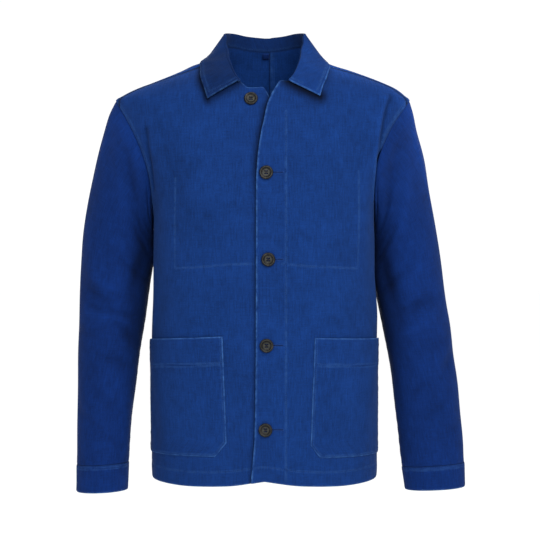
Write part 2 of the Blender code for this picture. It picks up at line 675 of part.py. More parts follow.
def sleeve_ring(side, share, hole):
    """One ring of the sleeve's outer face, its shape going from the armhole's to an oval."""
    start = sleeve_frame(side, {name: curve(0.0) for name, curve in SLEEVE_AT[side].items()})
    now = sleeve_frame(side, {name: curve(share) for name, curve in SLEEVE_AT[side].items()})
    centre, axis, depth = start
    off_axis = unit(np.cross(axis, (0, 1, 0)))
    along = (hole - centre) @ axis / (axis @ axis)
    forward = -(hole - centre)[:, 1] / depth
    off = (hole - centre) @ off_axis
    turn = np.unwrap(np.arctan2(forward, along))
    even_turn = turn[0] + (turn[-1] - turn[0] + (turn[1] - turn[0])) * np.arange(len(hole)) / len(hole)
    oval = ease(share, 0.0, ROUND_BY)
    turn = turn * (1 - oval) + even_turn * oval
    along = along * (1 - oval) + np.cos(turn) * oval
    forward = forward * (1 - oval) + np.sin(turn) * oval
    off = off * (1 - oval)
    centre, axis, depth = now
    off_axis = unit(np.cross(axis, (0, 1, 0)))
    ring = centre + along[:, None] * axis + off[:, None] * off_axis
    ring[:, 1] -= forward * depth
    folds = sleeve_folds(side, share, turn)
    return ring + unit(ring - centre) * folds[:, None]


def sleeve_folds(side, share, turn):
    """Height of the sleeve's soft folds, in a flat map of its length and girth."""
    around = np.mod(turn + math.pi, 2 * math.pi) - math.pi
    total = np.zeros(len(turn))
    for fold in SLEEVE_FOLDS[side]:
        ends = [fold.share_a * SLEEVE_LENGTH, math.radians(fold.turn_a) * SLEEVE_RADIUS]
        ends += [fold.share_b * SLEEVE_LENGTH, math.radians(fold.turn_b) * SLEEVE_RADIUS]
        away, t = to_segment(share * SLEEVE_LENGTH, around * SLEEVE_RADIUS, *ends)
        total = total + fold_height(fold, away, t)
    return total


def cloth_material(name, colour, roughness):
    material = bpy.data.materials.new(name)
    material.use_nodes = True
    shader = material.node_tree.nodes["Principled BSDF"]
    shader.inputs["Base Color"].default_value = colour
    shader.inputs["Roughness"].default_value = roughness
    shader.inputs["Metallic"].default_value = 0.0
    return material


def add_object(name, mesh, colour, roughness):
    mesh.materials.append(cloth_material(name, colour, roughness))
    mesh.shade_smooth()
    mesh.set_sharp_from_angle(angle=math.radians(SHARP_ANGLE))
    piece = bpy.data.objects.new(name, mesh)
    bpy.context.scene.collection.objects.link(piece)
    return piece


def wall(name, outer, inner, closed_round=False, colour=TWILL_BLUE, roughness=0.85):
    """A closed wall of cloth between two matching grids of points."""
    rows, count = outer.shape[:2]
    points = np.concatenate([outer.reshape(-1, 3), inner.reshape(-1, 3)])
    back = rows * count
    faces = []
    for r in range(rows - 1):
        for c in range(count if closed_round else count - 1):
            a, b = r * count + c, r * count + (c + 1) % count
            faces.append((a, b, b + count, a + count))
            faces.append((back + a, back + a + count, back + b + count, back + b))
    for c in range(count if closed_round else count - 1):
        a, b = c, (c + 1) % count
        faces.append((b, a, back + a, back + b))
        a, b = a + (rows - 1) * count, b + (rows - 1) * count
        faces.append((a, b, back + b, back + a))
    if not closed_round:
        for r in range(rows - 1):
            a, b = r * count, (r + 1) * count
            faces.append((a, b, back + b, back + a))
            a, b = a + count - 1, b + count - 1
            faces.append((b, a, back + a, back + b))
    mesh = bpy.data.meshes.new(name)
    mesh.from_pydata(points.tolist(), [], faces)
    bm = bmesh.new()
    bm.from_mesh(mesh)
    bmesh.ops.recalc_face_normals(bm, faces=bm.faces)
    bm.to_mesh(mesh)
    bm.free()
    return add_object(name, mesh, colour, roughness)


def seam_walls(walls, hole, half, seam_column):
    """Turns a panel's wall directions into its seams' planes; half picks the armhole's front or back."""
    side_rows = slice(0, SIDE_STEPS + 1)
    walls[side_rows, seam_column] = in_plane(walls[side_rows, seam_column], np.array([0, 1.0, 0]), CLOTH)
    arm = hole["body_wall"]
    if half == "front":
        arm_walls = arm[: ARMHOLE_STEPS + 1]
    else:
        arm_walls = np.concatenate([arm[ARMHOLE_STEPS:], arm[:1]])[::-1]
    walls[SIDE_STEPS:, seam_column] = arm_walls
    top = slice(-SHOULDER_STEPS - 1, None) if seam_column == -1 else slice(None, SHOULDER_STEPS + 1)
    corner = walls[-1, seam_column].copy()
    walls[-1, top] = in_plane(walls[-1, top], np.array([0, 1.0, 0]), CLOTH)
    walls[-1, seam_column] = corner


def open_seams(grid, toward_y, seam_column):
    """Moves a panel's side and shoulder seam half a gap away from its neighbour."""
    grid[: SIDE_STEPS + 1, seam_column, 1] += toward_y * SEAM_GAP / 2
    top = slice(-SHOULDER_STEPS - 1, None) if seam_column == -1 else slice(None, SHOULDER_STEPS + 1)
    grid[-1, top, 1] += toward_y * SEAM_GAP / 2


def free_top(side, free_corner, collar_end):
    """The open top of a front, from its free corner to the collar's end."""
    turn = (float(angle_at_x(NECK_STEPS[side].x, NECK_STEPS[side].z)), NECK_STEPS[side].z)
    return np.array([free_corner, turn, collar_end])


def front_grid(side, hole):
    """(angle, z) of one front, from its free edge to the side seam and armhole."""
    shoulder = shoulder_path(side, hole["ring"][ARMHOLE_STEPS])
    centre = centre_front_path(side)
    neck = neck_path(side, COLLAR_END_ANGLE, NECK_POINT, FRONT_NECK_STEPS)
    top = joined(free_top(side, centre[-1], neck[0]), neck, shoulder)
    outer_edge = joined(side_path(side), hole["ring"][: ARMHOLE_STEPS + 1])
    hem = hem_path(side, centre[0, 0], side * math.pi / 2, len(top) - 1)
    hem[0] = centre[0]
    return patch(side, True, hem, outer_edge, top, centre)


def front(side, hole):
    flat = front_grid(side, hole)
    outer = front_point(side, flat[..., 0], flat[..., 1])
    walls = -side * face_normals(outer) * CLOTH
    seam_walls(walls, hole, "front", -1)
    open_seams(outer, -1, -1)
    wall(f"front_{SIDES[side]}", outer, outer + walls)
    return outer, walls


def back_grid(side, hole):
    """(angle, z) of one back panel, from the centre back seam to the side seam and armhole."""
    arm = np.concatenate([hole["ring"][ARMHOLE_STEPS:], hole["ring"][:1]])[::-1]
    shoulder = shoulder_path(side, hole["ring"][ARMHOLE_STEPS])
    centre = centre_back_path(side)
    neck_end = abs(math.degrees(centre[-1, 0]))
    neck = neck_path(side, neck_end, NECK_POINT, BACK_NECK_STEPS)
    neck[0] = centre[-1]
    top = joined(neck, shoulder)
    hem = hem_path(side, centre[0, 0], side * math.pi / 2, len(top) - 1)
    hem[0] = centre[0]
    return patch(side, False, hem, joined(side_path(side), arm), top, centre)


def back(side, hole):
    flat = back_grid(side, hole)
    outer = body(flat[..., 0], flat[..., 1])
    walls = side * face_normals(outer) * CLOTH
    seam_walls(walls, hole, "back", -1)
    walls[:, 0] = in_plane(walls[:, 0], np.array([1.0, 0, 0]), CLOTH)
    open_seams(outer, 1, -1)
    outer[:, 0, 0] = CENTRE_BACK_X + side * SEAM_GAP / 2
    wall(f"back_{SIDES[side]}", outer, outer + walls)
    return outer, walls


def sleeve(side, hole):
    """The sleeve from the armhole to the cuff seam; returns its last ring."""
    shares = np.linspace(0, 1, SLEEVE_STEPS + 1)
    rings = np.stack([sleeve_ring(side, share, hole["points"]) for share in shares])
    wrapped = np.concatenate([rings[:, -1:], rings, rings[:, :1]], axis=1)
    normals = face_normals(wrapped)[:, 1:-1]
    centres = rings.mean(axis=1, keepdims=True)
    normals = normals * np.sign(np.sum(normals * (rings - centres)))
    walls = -normals * CLOTH
    walls[0] = hole["sleeve_wall"]
    down = unit(centres[-1, 0] - centres[-2, 0])
    walls[-1] = in_plane(walls[-1], ring_normal(rings[-1]), CLOTH)
    outer = rings.copy()
    outer[0] = outer[0] + hole["across"] * SEAM_GAP
    wall(f"sleeve_{SIDES[side]}", outer, outer + walls, closed_round=True)
    return rings[-1], down


def ring_normal(ring):
    """The plane normal of a flat ring."""
    spokes = ring - ring.mean(axis=0)
    return unit(np.cross(spokes, np.roll(spokes, -1, axis=0)).sum(axis=0))


def cuff(side, seam_ring, down):
    """A folded band that goes on from the sleeve."""
    centre, axis, depth = sleeve_frame(side, CUFF_END[side]._asdict())
    seam_centre = seam_ring.mean(axis=0)
    start, start_axis, start_depth = sleeve_frame(side, SLEEVES[side][-1]._asdict())
    along = (seam_ring - start) @ start_axis / (start_axis @ start_axis)
    forward = -(seam_ring - start)[:, 1] / start_depth
    turn = np.arctan2(forward, along)
    end_ring = centre + np.cos(turn)[:, None] * axis
    end_ring[:, 1] -= np.sin(turn) * depth
    out = unit(seam_ring - seam_centre) * CUFF_STANDS_OUT
    first = seam_ring + out + down * SEAM_GAP
    share = np.linspace(0, 1, CUFF_STEPS + 1)[:, None, None]
    outer = first * (1 - share) + (end_ring + out) * share
    inward = in_plane(-out, ring_normal(seam_ring), CUFF_CLOTH)
    wall(f"cuff_{SIDES[side]}", outer, outer + inward[None], closed_round=True)


def settle(points, clearance):
    """Moves points out until they clear the torso form."""
    for _ in range(COLLAR_SETTLE_TURNS):
        x, y, z = points[..., 0], points[..., 1], points[..., 2]
        side = np.where(x >= 0, half_width(LEFT, z), half_width(RIGHT, z))
        deep = np.where(y <= 0, TORSO_AT["front_depth"](z), TORSO_AT["back_depth"](z))
        power = TORSO_AT["squareness"](z)
        value = (np.abs(x) / side) ** power + (np.abs(y) / deep) ** power
        angle = np.arctan2(x, -y)
        normal = outward(angle, z)
        surface = torso(angle, z)
        away = np.sum((points - surface) * normal, axis=-1)
        short = np.where(value < SETTLE_REACH, np.maximum(clearance + flare(x, z) - away, 0), 0)
        points = points + normal * short[..., None]
    return points


def collar_stations():
    """(signed angle, side) of the collar's sections from the wearer's right end round to the left end."""
    stations = []
    for side in (RIGHT, LEFT):
        centre_angle = abs(math.degrees(float(centre_back_path(side)[-1, 0])))
        fore = neck_path(side, COLLAR_END_ANGLE, NECK_POINT, FRONT_NECK_STEPS)
        aft = neck_path(side, NECK_POINT, centre_angle, BACK_NECK_STEPS)
        path = [(side, angle) for angle, _ in joined(fore, aft)]
        stations.append(path)
    return stations[0] + stations[1][::-1][1:]


def collar_section(side, angle):
    """Showing face of the collar at one station: up the stand, over the roll and down the fall."""
    degrees = abs(math.degrees(angle))
    row = {name: float(curve(min(degrees, 180.0))) for name, curve in COLLAR_AT.items()}
    lift = front_lift(side, angle, neck_z(angle)) if degrees < NECK_POINT else 0.0
    seam = body(angle, neck_z(angle), lift)
    out = np.array([math.sin(angle), -math.cos(angle), 0.0])
    foot = seam + np.array([0, 0, SEAM_GAP])
    top = seam + out * row["lean"] + np.array([0, 0, row["stand"]])
    centre = top - np.array([0, 0, ROLL_RADIUS])
    stand = straight(foot, centre - out * ROLL_RADIUS, STAND_STEPS)
    roll = []
    for step in range(1, ROLL_STEPS + 1):
        bend = math.pi * step / ROLL_STEPS
        roll.append(centre + ROLL_RADIUS * (-out * math.cos(bend) + np.array([0, 0, math.sin(bend)])))
    edge_angle = math.copysign(math.radians(row["edge_angle"]), angle)
    if abs(angle) > math.pi:
        edge_angle = angle
    edge_z = row["edge_z"] + row["rise_" + SIDES[side]]
    edge = body(edge_angle, edge_z, COLLAR_CLEARANCE)
    fall = straight(roll[-1], edge, FALL_STEPS)[1:]
    fall = settle(fall, COLLAR_CLEARANCE)
    return np.concatenate([stand, roll, fall])


def collar():
    showing = np.stack([collar_section(side, angle) for side, angle in collar_stations()], axis=1)
    along = np.gradient(showing, axis=1)
    up = np.gradient(showing, axis=0)
    behind = unit(np.cross(up, along))
    wall("collar", showing + behind * COLLAR_CLOTH, showing)


def pocket(side):
    """A patch pocket on one front, with a turned band at its mouth and a cut lower inner corner."""
    cut = POCKETS[side]
    outer_angle = side * math.radians(POCKET_OUTER_ANGLE)
    top_corner = (float(angle_at_x(cut.inner_top_x, cut.top_inner_z)), cut.top_inner_z)
    cut_top = (float(angle_at_x(cut.inner_bottom_x, cut.cut_top_z)), cut.cut_top_z)
    cut_end = (float(angle_at_x(cut.cut_x, cut.bottom_z)), cut.bottom_z)
    inner_edge = joined(
        straight(cut_end, cut_top, POCKET_CUT_ROWS),
        straight(cut_top, top_corner, POCKET_ROWS - POCKET_CUT_ROWS),
    )
    outer_edge = straight((outer_angle, cut.bottom_z), (outer_angle, cut.top_outer_z), POCKET_ROWS)
    bottom = straight(inner_edge[0], outer_edge[0], POCKET_COLUMNS)
    top = straight(inner_edge[-1], outer_edge[-1], POCKET_COLUMNS)
    flat = coons(bottom, outer_edge, top, inner_edge)
    angle, z = flat[..., 0], flat[..., 1]
    below_top = top[None, :, 1] - z
    across = np.linspace(0, 1, POCKET_COLUMNS + 1)[None, :]
    arch = np.sin(math.pi * (MOUTH_ARCH_FROM + (MOUTH_ARCH_TO - MOUTH_ARCH_FROM) * across))
    gape = MOUTH_STANDS_OFF * arch * (1 - ease(below_top, 0, MOUTH_FADES_OVER))
    band = BAND_STANDS_OUT * (below_top < POCKET_BAND)
    inner = front_point(side, angle, z, LAID_ON + gape)
    outer = front_point(side, angle, z, LAID_ON + gape + CLOTH + band)
    wall(f"pocket_{SIDES[side]}", outer, inner)


def steps_between(start, end):
    """Whole steps of a grid between two fractional ones, with both ends."""
    whole = np.arange(math.ceil(start), math.floor(end) + 1)
    whole = whole[(whole > start + CLOSE_STEP) & (whole < end - CLOSE_STEP)]
    return np.concatenate([[start], whole, [end]])


def grid_at(grid, rows, cols):
    """A grid of points read at fractional rows and columns."""
    low_row = np.minimum(rows.astype(int), len(grid) - 2)
    low_col = np.minimum(cols.astype(int), grid.shape[1] - 2)
    row_share = (rows - low_row)[:, None, None]
    col_share = (cols - low_col)[None, :, None]
    low = grid[low_row][:, low_col] * (1 - col_share) + grid[low_row][:, low_col + 1] * col_share
    high = grid[low_row + 1][:, low_col] * (1 - col_share) + grid[low_row + 1][:, low_col + 1] * col_share
    return low * (1 - row_share) + high * row_share


def laid_inside(name, panel, extent, thickness, gap, colour=TWILL_BLUE):
    """A piece of cloth on a panel's inner face, made from the panel's points."""
    outer, walls = panel
    middle = np.argmin(np.abs(outer[:, 0, 2] - (extent.top_z + extent.bottom_z) / 2))
    across = np.abs(outer[middle, :, 0] - outer[middle, 0, 0])
    start_col = np.interp(abs(extent.edge_x - outer[middle, 0, 0]), across, np.arange(len(across)))
    end_col = np.interp(abs(extent.side_x - outer[middle, 0, 0]), across, np.arange(len(across)))
    up = outer[:, 0, 2]
    start_row = np.interp(extent.bottom_z, up, np.arange(len(up)))
    end_row = np.interp(extent.top_z, up, np.arange(len(up)))
    rows, cols = steps_between(start_row, end_row), steps_between(start_col, end_col)
    near = grid_at(outer + walls * (1 + gap / CLOTH), rows, cols)
    far = grid_at(outer + walls * (1 + (gap + thickness) / CLOTH), rows, cols)
    wall(name, near, far, colour=colour)


def button_mesh():
    """One four-hole button, flat below and dished on top."""
    mesh = bpy.data.meshes.new("button_body")
    bm = bmesh.new()
    rings = []
    for level in BUTTON_PROFILE:
        ring = []
        for step in range(BUTTON_SIDES):
            turn = 2 * math.pi * step / BUTTON_SIDES
            reach = level.radius_share * BUTTON_RADIUS
            ring.append(bm.verts.new((reach * math.cos(turn), reach * math.sin(turn), level.height)))
        rings.append(ring)
    for low, high in zip(rings, rings[1:]):
        for step in range(BUTTON_SIDES):
            after = (step + 1) % BUTTON_SIDES
            bm.faces.new((low[step], low[after], high[after], high[step]))
    bm.faces.new(rings[0][::-1])
    bm.faces.new(rings[-1])
    bmesh.ops.recalc_face_normals(bm, faces=bm.faces)
    bm.to_mesh(mesh)
    bm.free()
    return mesh


def button_cutter():
    """Four round holes, as one cutter."""
    mesh = bpy.data.meshes.new("button_holes")
    bm = bmesh.new()
    for across, along in ((1, 1), (-1, 1), (-1, -1), (1, -1)):
        made = bmesh.ops.create_cone(
            bm,
            cap_ends=True,
            segments=HOLE_SIDES,
            radius1=HOLE_RADIUS,
            radius2=HOLE_RADIUS,
            depth=HOLE_CUT_DEPTH,
        )
        bmesh.ops.translate(bm, verts=made["verts"], vec=(across * HOLE_OFFSET, along * HOLE_OFFSET, 0))
    bm.to_mesh(mesh)
    bm.free()
    cutter = bpy.data.objects.new("button_holes", mesh)
    cutter.display_type = "WIRE"
    cutter.hide_render = True
    bpy.context.scene.collection.objects.link(cutter)
    return cutter


def buttons():
    """Five buttons, each lying on the front that shows there."""
    cutter = button_cutter()
    for number, place in enumerate(BUTTONS, start=1):
        side = RIGHT if place.on_under_front else LEFT
        angle = float(angle_at_x(place.x, place.z))
        seat = front_point(side, angle, place.z, BUTTON_OFF_CLOTH)
        away = unit(front_point(side, angle, place.z, 0.01) - front_point(side, angle, place.z))
        piece = add_object(f"button_{number}", button_mesh(), HORN_BLACK, 0.35)
        cut = piece.modifiers.new("holes", "BOOLEAN")
        cut.operation = "DIFFERENCE"
        cut.object = cutter
        piece.location = seat
        piece.rotation_mode = "QUATERNION"
        piece.rotation_quaternion = Vector(away).to_track_quat("Z", "Y")
        holes = cutter if number == 1 else cutter.copy()
        if number > 1:
            bpy.context.scene.collection.objects.link(holes)
        holes.rotation_mode = "QUATERNION"
        holes.location = piece.location
        holes.rotation_quaternion = piece.rotation_quaternion
        cut.object = holes


def main():
    for old in list(bpy.data.objects):
        bpy.data.objects.remove(old)
    for side in (RIGHT, LEFT):
        hole = armhole(side)
        front_panel = front(side, hole)
        back_panel = back(side, hole)
        seam_ring, down = sleeve(side, hole)
        cuff(side, seam_ring, down)
        pocket(side)
        name = f"inner_pocket_{SIDES[side]}"
        laid_inside(name, front_panel, INNER_POCKETS[side], INNER_POCKET_CLOTH, 2 * LAID_ON)
        if side == RIGHT:
            laid_inside("neck_tab", back_panel, NECK_TAB, TAB_THICKNESS, LAID_ON, TAB_NAVY)
    collar()
    buttons()


main()
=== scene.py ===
"""Looks of a hip-length chore jacket in cotton twill, filled out with nobody in it.

Metres, +Z up, the front faces -Y and the wearer's left is +X. Every cut piece is a fine sheet of
cloth on the same torso and sleeve forms as its solid, with its folds, seams, stitches and wear,
and with painted light and shade in its colour.
"""

import itertools
import math
from collections import namedtuple

import bmesh
import bpy
import numpy as np
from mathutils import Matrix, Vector
from mathutils.bvhtree import BVHTree


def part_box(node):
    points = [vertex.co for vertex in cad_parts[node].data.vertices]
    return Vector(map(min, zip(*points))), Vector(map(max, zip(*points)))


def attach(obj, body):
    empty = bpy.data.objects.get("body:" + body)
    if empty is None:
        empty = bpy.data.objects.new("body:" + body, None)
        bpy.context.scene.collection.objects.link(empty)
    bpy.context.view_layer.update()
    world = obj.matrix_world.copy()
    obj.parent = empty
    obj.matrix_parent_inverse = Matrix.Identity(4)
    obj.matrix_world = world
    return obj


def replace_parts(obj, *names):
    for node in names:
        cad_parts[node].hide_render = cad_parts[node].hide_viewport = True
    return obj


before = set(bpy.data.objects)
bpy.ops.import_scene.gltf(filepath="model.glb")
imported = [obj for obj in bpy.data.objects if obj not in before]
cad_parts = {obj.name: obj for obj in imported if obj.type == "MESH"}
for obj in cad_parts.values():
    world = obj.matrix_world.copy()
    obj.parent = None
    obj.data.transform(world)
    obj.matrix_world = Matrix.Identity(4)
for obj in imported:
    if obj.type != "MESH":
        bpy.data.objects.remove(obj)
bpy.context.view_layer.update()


def table(kind, rows):
    """A table of named columns."""
    return [kind(*row) for row in rows]


# Thicknesses of the cloth and the small distances between its layers, in metres
CLOTH = 0.0016
COLLAR_CLOTH = 0.0020
CUFF_CLOTH = 0.0022
INNER_POCKET_CLOTH = 0.0011
SEAM_GAP = 0.0003
LAID_ON = 0.0004  # from a panel to what lies on it
SMALL_TURN = 1e-3  # step for slopes, in radians
SMALL_DROP = 2e-4  # step for slopes, in metres
FRONT_SWEEP = (-25, 105)  # degrees round one level of a front, from beyond its free edge
BACK_SWEEP = (190, 75)
SWEEP_STEPS = 160
PAST_LAST = 1.001  # taken off a table's length, it keeps a place inside the last cell
FINE_STEPS = 400  # along an edge before it is walked again in even steps
HEM_CENTRE_Z = -0.7145

RIGHT = -1  # the wearer's right, at -X
LEFT = 1  # the wearer's left, at +X
SIDES = {RIGHT: "right", LEFT: "left"}

# The torso form: level sections from the neck down, each a rounded rectangle
Section = namedtuple("Section", "z right_half left_half front_depth back_depth squareness")
TORSO = table(Section, [
    (0.030, 0.058, 0.058, 0.016, 0.056, 2.2),
    (0.010, 0.072, 0.072, 0.028, 0.067, 2.2),
    (-0.004, 0.0875, 0.0865, 0.041, 0.078, 2.2),
    (-0.0155, 0.1020, 0.1010, 0.053, 0.085, 2.3),
    (-0.0235, 0.1243, 0.1195, 0.060, 0.089, 2.3),
    (-0.0325, 0.1425, 0.1485, 0.068, 0.094, 2.3),
    (-0.053, 0.192, 0.2025, 0.087, 0.103, 2.35),
    (-0.063, 0.218, 0.2235, 0.093, 0.107, 2.4),
    (-0.073, 0.2385, 0.2365, 0.098, 0.110, 2.4),
    (-0.083, 0.2525, 0.2457, 0.102, 0.113, 2.4),
    (-0.105, 0.2475, 0.2420, 0.110, 0.118, 2.45),
    (-0.132, 0.2388, 0.2340, 0.118, 0.123, 2.5),
    (-0.179, 0.2176, 0.2140, 0.127, 0.127, 2.5),
    (-0.234, 0.1955, 0.1920, 0.134, 0.128, 2.5),
    (-0.275, 0.1880, 0.1855, 0.137, 0.126, 2.5),
    (-0.360, 0.1875, 0.1852, 0.137, 0.120, 2.5),
    (-0.450, 0.1905, 0.1905, 0.133, 0.114, 2.5),
    (-0.550, 0.1920, 0.1905, 0.128, 0.113, 2.5),
    (-0.640, 0.1915, 0.1905, 0.123, 0.115, 2.5),
    (-0.700, 0.1910, 0.1900, 0.119, 0.117, 2.5),
    (-0.730, 0.1895, 0.1885, 0.117, 0.117, 2.5),
])

# Height of the neck seam and of the hem, by the angle in degrees from centre front
NeckPoint = namedtuple("NeckPoint", "angle z")
NECKLINE = table(NeckPoint, [
    (0, -0.0655),
    (15, -0.0640),
    (24, -0.0570),
    (34, -0.0430),
    (45, -0.0280),
    (60, -0.0115),
    (72, -0.0005),
    (83, 0.0100),
    (100, 0.0125),
    (130, 0.0140),
    (155, 0.0110),
    (180, 0.0090),
])
HemPoint = namedtuple("HemPoint", "angle z")
HEMLINE = table(HemPoint, [
    (0, -0.7150),
    (30, -0.7230),
    (50, -0.7243),
    (72, -0.7205),
    (90, -0.7165),
    (135, -0.7160),
    (180, -0.7175),
])

# The two front edges: x of the buttonhole side, which lies on top, and of the button side below it
EdgePoint = namedtuple("EdgePoint", "z top_x under_x")
FRONT_EDGES = table(EdgePoint, [
    (-0.0580, 0.0255, -0.0065),
    (-0.0660, 0.0205, -0.0016),
    (-0.0800, 0.0123, 0.0065),
    (-0.1010, 0.0041, 0.0150),
    (-0.1275, -0.0016, 0.0195),
    (-0.1420, -0.0051, 0.0207),
    (-0.1865, -0.0112, 0.0220),
    (-0.2320, -0.0135, 0.0220),
    (-0.4900, -0.0140, 0.0220),
    (-0.6370, -0.0159, 0.0215),
    (-0.7155, -0.0217, 0.0200),
])
TOP_CORNER_Z = {RIGHT: -0.0660, LEFT: -0.0580}
NeckStep = namedtuple("NeckStep", "x z")
NECK_STEPS = {  # where the neck edge turns, between the free edge and the collar's end
    RIGHT: NeckStep(-0.0285, -0.0668),
    LEFT: NeckStep(0.0330, -0.0575),
}
UNDERLAP_DEPTH = CLOTH + 0.0008
UNDERLAP_FROM_X = -0.050
UNDERLAP_FULL_X = -0.018
FLARE = 0.0040  # how far the open top of the buttonhole side turns forward
FLARE_WIDTH = 0.030
FLARE_FROM_Z = -0.165
FLARE_FULL_Z = -0.070

# Seams
SHOULDER_Z = -0.083
UNDERARM_Z = -0.275
ARMHOLE_BOW = {RIGHT: 0.018, LEFT: 0.026}
NECK_POINT_BETWEEN = (50, 90)  # degrees
SEAM_FORWARD_AT_NECK = 0.042
SEAM_FORWARD_AT_ARM = 0.026
CENTRE_BACK_X = 0.008
CENTRE_BACK_ANGLE = 176  # where the centre back seam meets the neck seam, in degrees
COLLAR_END_ANGLE = 24.0

SIDE_HOLD = (3.0, 1.5)  # how fast a panel's grid forgets its side edges, across and upward
TOP_HOLD = (3.0, 2.0)
FRONT_ROWS_CROWD = 1.3  # over 1 brings the rows closer together toward the neck
BACK_ROWS_CROWD = 1.0

# Soft folds: each is highest at its middle and fades to this share at its ends
FOLD_END_SHARE = 0.45
BODY_RADIUS = 0.150  # mean radius for turning degrees into metres
SLEEVE_RADIUS = 0.060
SLEEVE_LENGTH = 0.62

# Soft folds of the body: from one point to another, in degrees from centre front and metres
Fold = namedtuple("Fold", "angle_a z_a angle_b z_b width height")
BODY_FOLDS = table(Fold, [
    (-66, -0.165, -63, -0.330, 0.016, 0.0030),
    (-58, -0.130, -52, -0.250, 0.013, -0.0022),
    (66, -0.120, 64, -0.350, 0.016, 0.0032),
    (57, -0.115, 52, -0.260, 0.013, -0.0022),
    (-17, -0.120, -24, -0.210, 0.020, -0.0016),
    (20, -0.130, 27, -0.230, 0.022, -0.0014),
    (-13, -0.560, -11, -0.715, 0.010, 0.0018),
    (-20, -0.540, -18, -0.715, 0.013, -0.0014),
    (75, -0.560, 72, -0.700, 0.016, -0.0022),
    (-74, -0.575, -72, -0.700, 0.015, -0.0020),
    (-118, -0.180, -126, -0.400, 0.020, -0.0032),
    (-132, -0.160, -139, -0.340, 0.018, 0.0026),
    (117, -0.190, 124, -0.430, 0.021, -0.0030),
    (133, -0.150, 141, -0.320, 0.018, 0.0024),
    (-150, -0.430, -146, -0.640, 0.024, -0.0024),
    (154, -0.400, 149, -0.600, 0.022, -0.0026),
])

# Sleeves: outer and inner line in the XZ plane, from the armhole to the cuff seam
SleeveRow = namedtuple("SleeveRow", "share outer_x outer_z inner_x inner_z centre_y girth")
SLEEVES = {
    RIGHT: table(SleeveRow, [
        (0.00, 0.2525, -0.083, 0.1880, -0.275, 0.000, 0.500),
        (0.06, 0.2640, -0.105, 0.1890, -0.285, 0.003, 0.490),
        (0.13, 0.2735, -0.135, 0.1890, -0.298, 0.010, 0.470),
        (0.22, 0.2890, -0.185, 0.1872, -0.314, 0.022, 0.445),
        (0.32, 0.3035, -0.255, 0.1868, -0.338, 0.029, 0.420),
        (0.42, 0.3135, -0.330, 0.1940, -0.372, 0.028, 0.400),
        (0.50, 0.3160, -0.395, 0.1985, -0.410, 0.022, 0.380),
        (0.62, 0.3168, -0.465, 0.2060, -0.465, 0.010, 0.350),
        (0.76, 0.3170, -0.545, 0.2165, -0.545, -0.003, 0.322),
        (0.88, 0.3165, -0.620, 0.2250, -0.617, -0.014, 0.298),
        (1.00, 0.3165, -0.696, 0.2290, -0.691, -0.024, 0.278),
    ]),
    LEFT: table(SleeveRow, [
        (0.00, 0.2457, -0.083, 0.1855, -0.275, 0.000, 0.500),
        (0.06, 0.2525, -0.105, 0.1866, -0.285, 0.003, 0.490),
        (0.13, 0.2595, -0.135, 0.1866, -0.298, 0.010, 0.470),
        (0.22, 0.2755, -0.190, 0.1850, -0.316, 0.022, 0.445),
        (0.32, 0.2865, -0.258, 0.1845, -0.342, 0.029, 0.420),
        (0.42, 0.2995, -0.332, 0.1846, -0.378, 0.030, 0.400),
        (0.50, 0.3060, -0.392, 0.1912, -0.414, 0.025, 0.382),
        (0.62, 0.3160, -0.463, 0.2018, -0.468, 0.012, 0.355),
        (0.76, 0.3250, -0.545, 0.2160, -0.550, -0.003, 0.328),
        (0.88, 0.3315, -0.620, 0.2240, -0.626, -0.014, 0.305),
        (1.00, 0.3365, -0.692, 0.2315, -0.699, -0.024, 0.285),
    ]),
}
CUFF_END = {  # outer and inner corner of the cuff's free edge
    RIGHT: SleeveRow(1.00, 0.3165, -0.741, 0.2305, -0.7375, -0.028, 0.276),
    LEFT: SleeveRow(1.00, 0.3370, -0.7325, 0.2365, -0.7375, -0.028, 0.283),
}
CUFF_STANDS_OUT = 0.0006
LEAST_OVAL = 0.2  # the first guess of an oval's depth is at least this share of its width
OVAL_TURNS = 6
ROUND_BY = 0.34  # share of the sleeve by which the armhole's shape has become an oval

# Soft folds of the sleeves, by share of the length and degrees round: 0 outer, 90 front, 180 inner
SleeveFold = namedtuple("SleeveFold", "share_a turn_a share_b turn_b width height")
SLEEVE_FOLDS = {
    RIGHT: table(SleeveFold, [
        (0.10, 75, 0.26, 128, 0.011, -0.0045),
        (0.13, 52, 0.30, 100, 0.014, 0.0026),
        (0.34, 140, 0.52, 122, 0.011, -0.0036),
        (0.50, 30, 0.545, 96, 0.011, -0.0042),
        (0.575, 40, 0.60, 118, 0.012, 0.0030),
        (0.60, 95, 0.67, 150, 0.010, -0.0036),
        (0.80, 60, 0.86, 125, 0.012, -0.0022),
        (0.16, -70, 0.34, -125, 0.013, -0.0042),
        (0.52, -48, 0.57, -118, 0.012, -0.0044),
        (0.62, -60, 0.68, -130, 0.013, -0.0030),
    ]),
    LEFT: table(SleeveFold, [
        (0.09, 70, 0.25, 130, 0.012, -0.0040),
        (0.14, 50, 0.31, 96, 0.014, 0.0024),
        (0.36, 138, 0.55, 124, 0.011, -0.0036),
        (0.52, 60, 0.58, 120, 0.012, -0.0034),
        (0.70, 24, 0.76, 62, 0.012, -0.0030),
        (0.84, 70, 0.90, 130, 0.012, -0.0020),
        (0.17, -66, 0.35, -120, 0.013, -0.0040),
        (0.54, -44, 0.58, -112, 0.012, -0.0042),
        (0.63, -64, 0.70, -128, 0.013, -0.0028),
    ]),
}

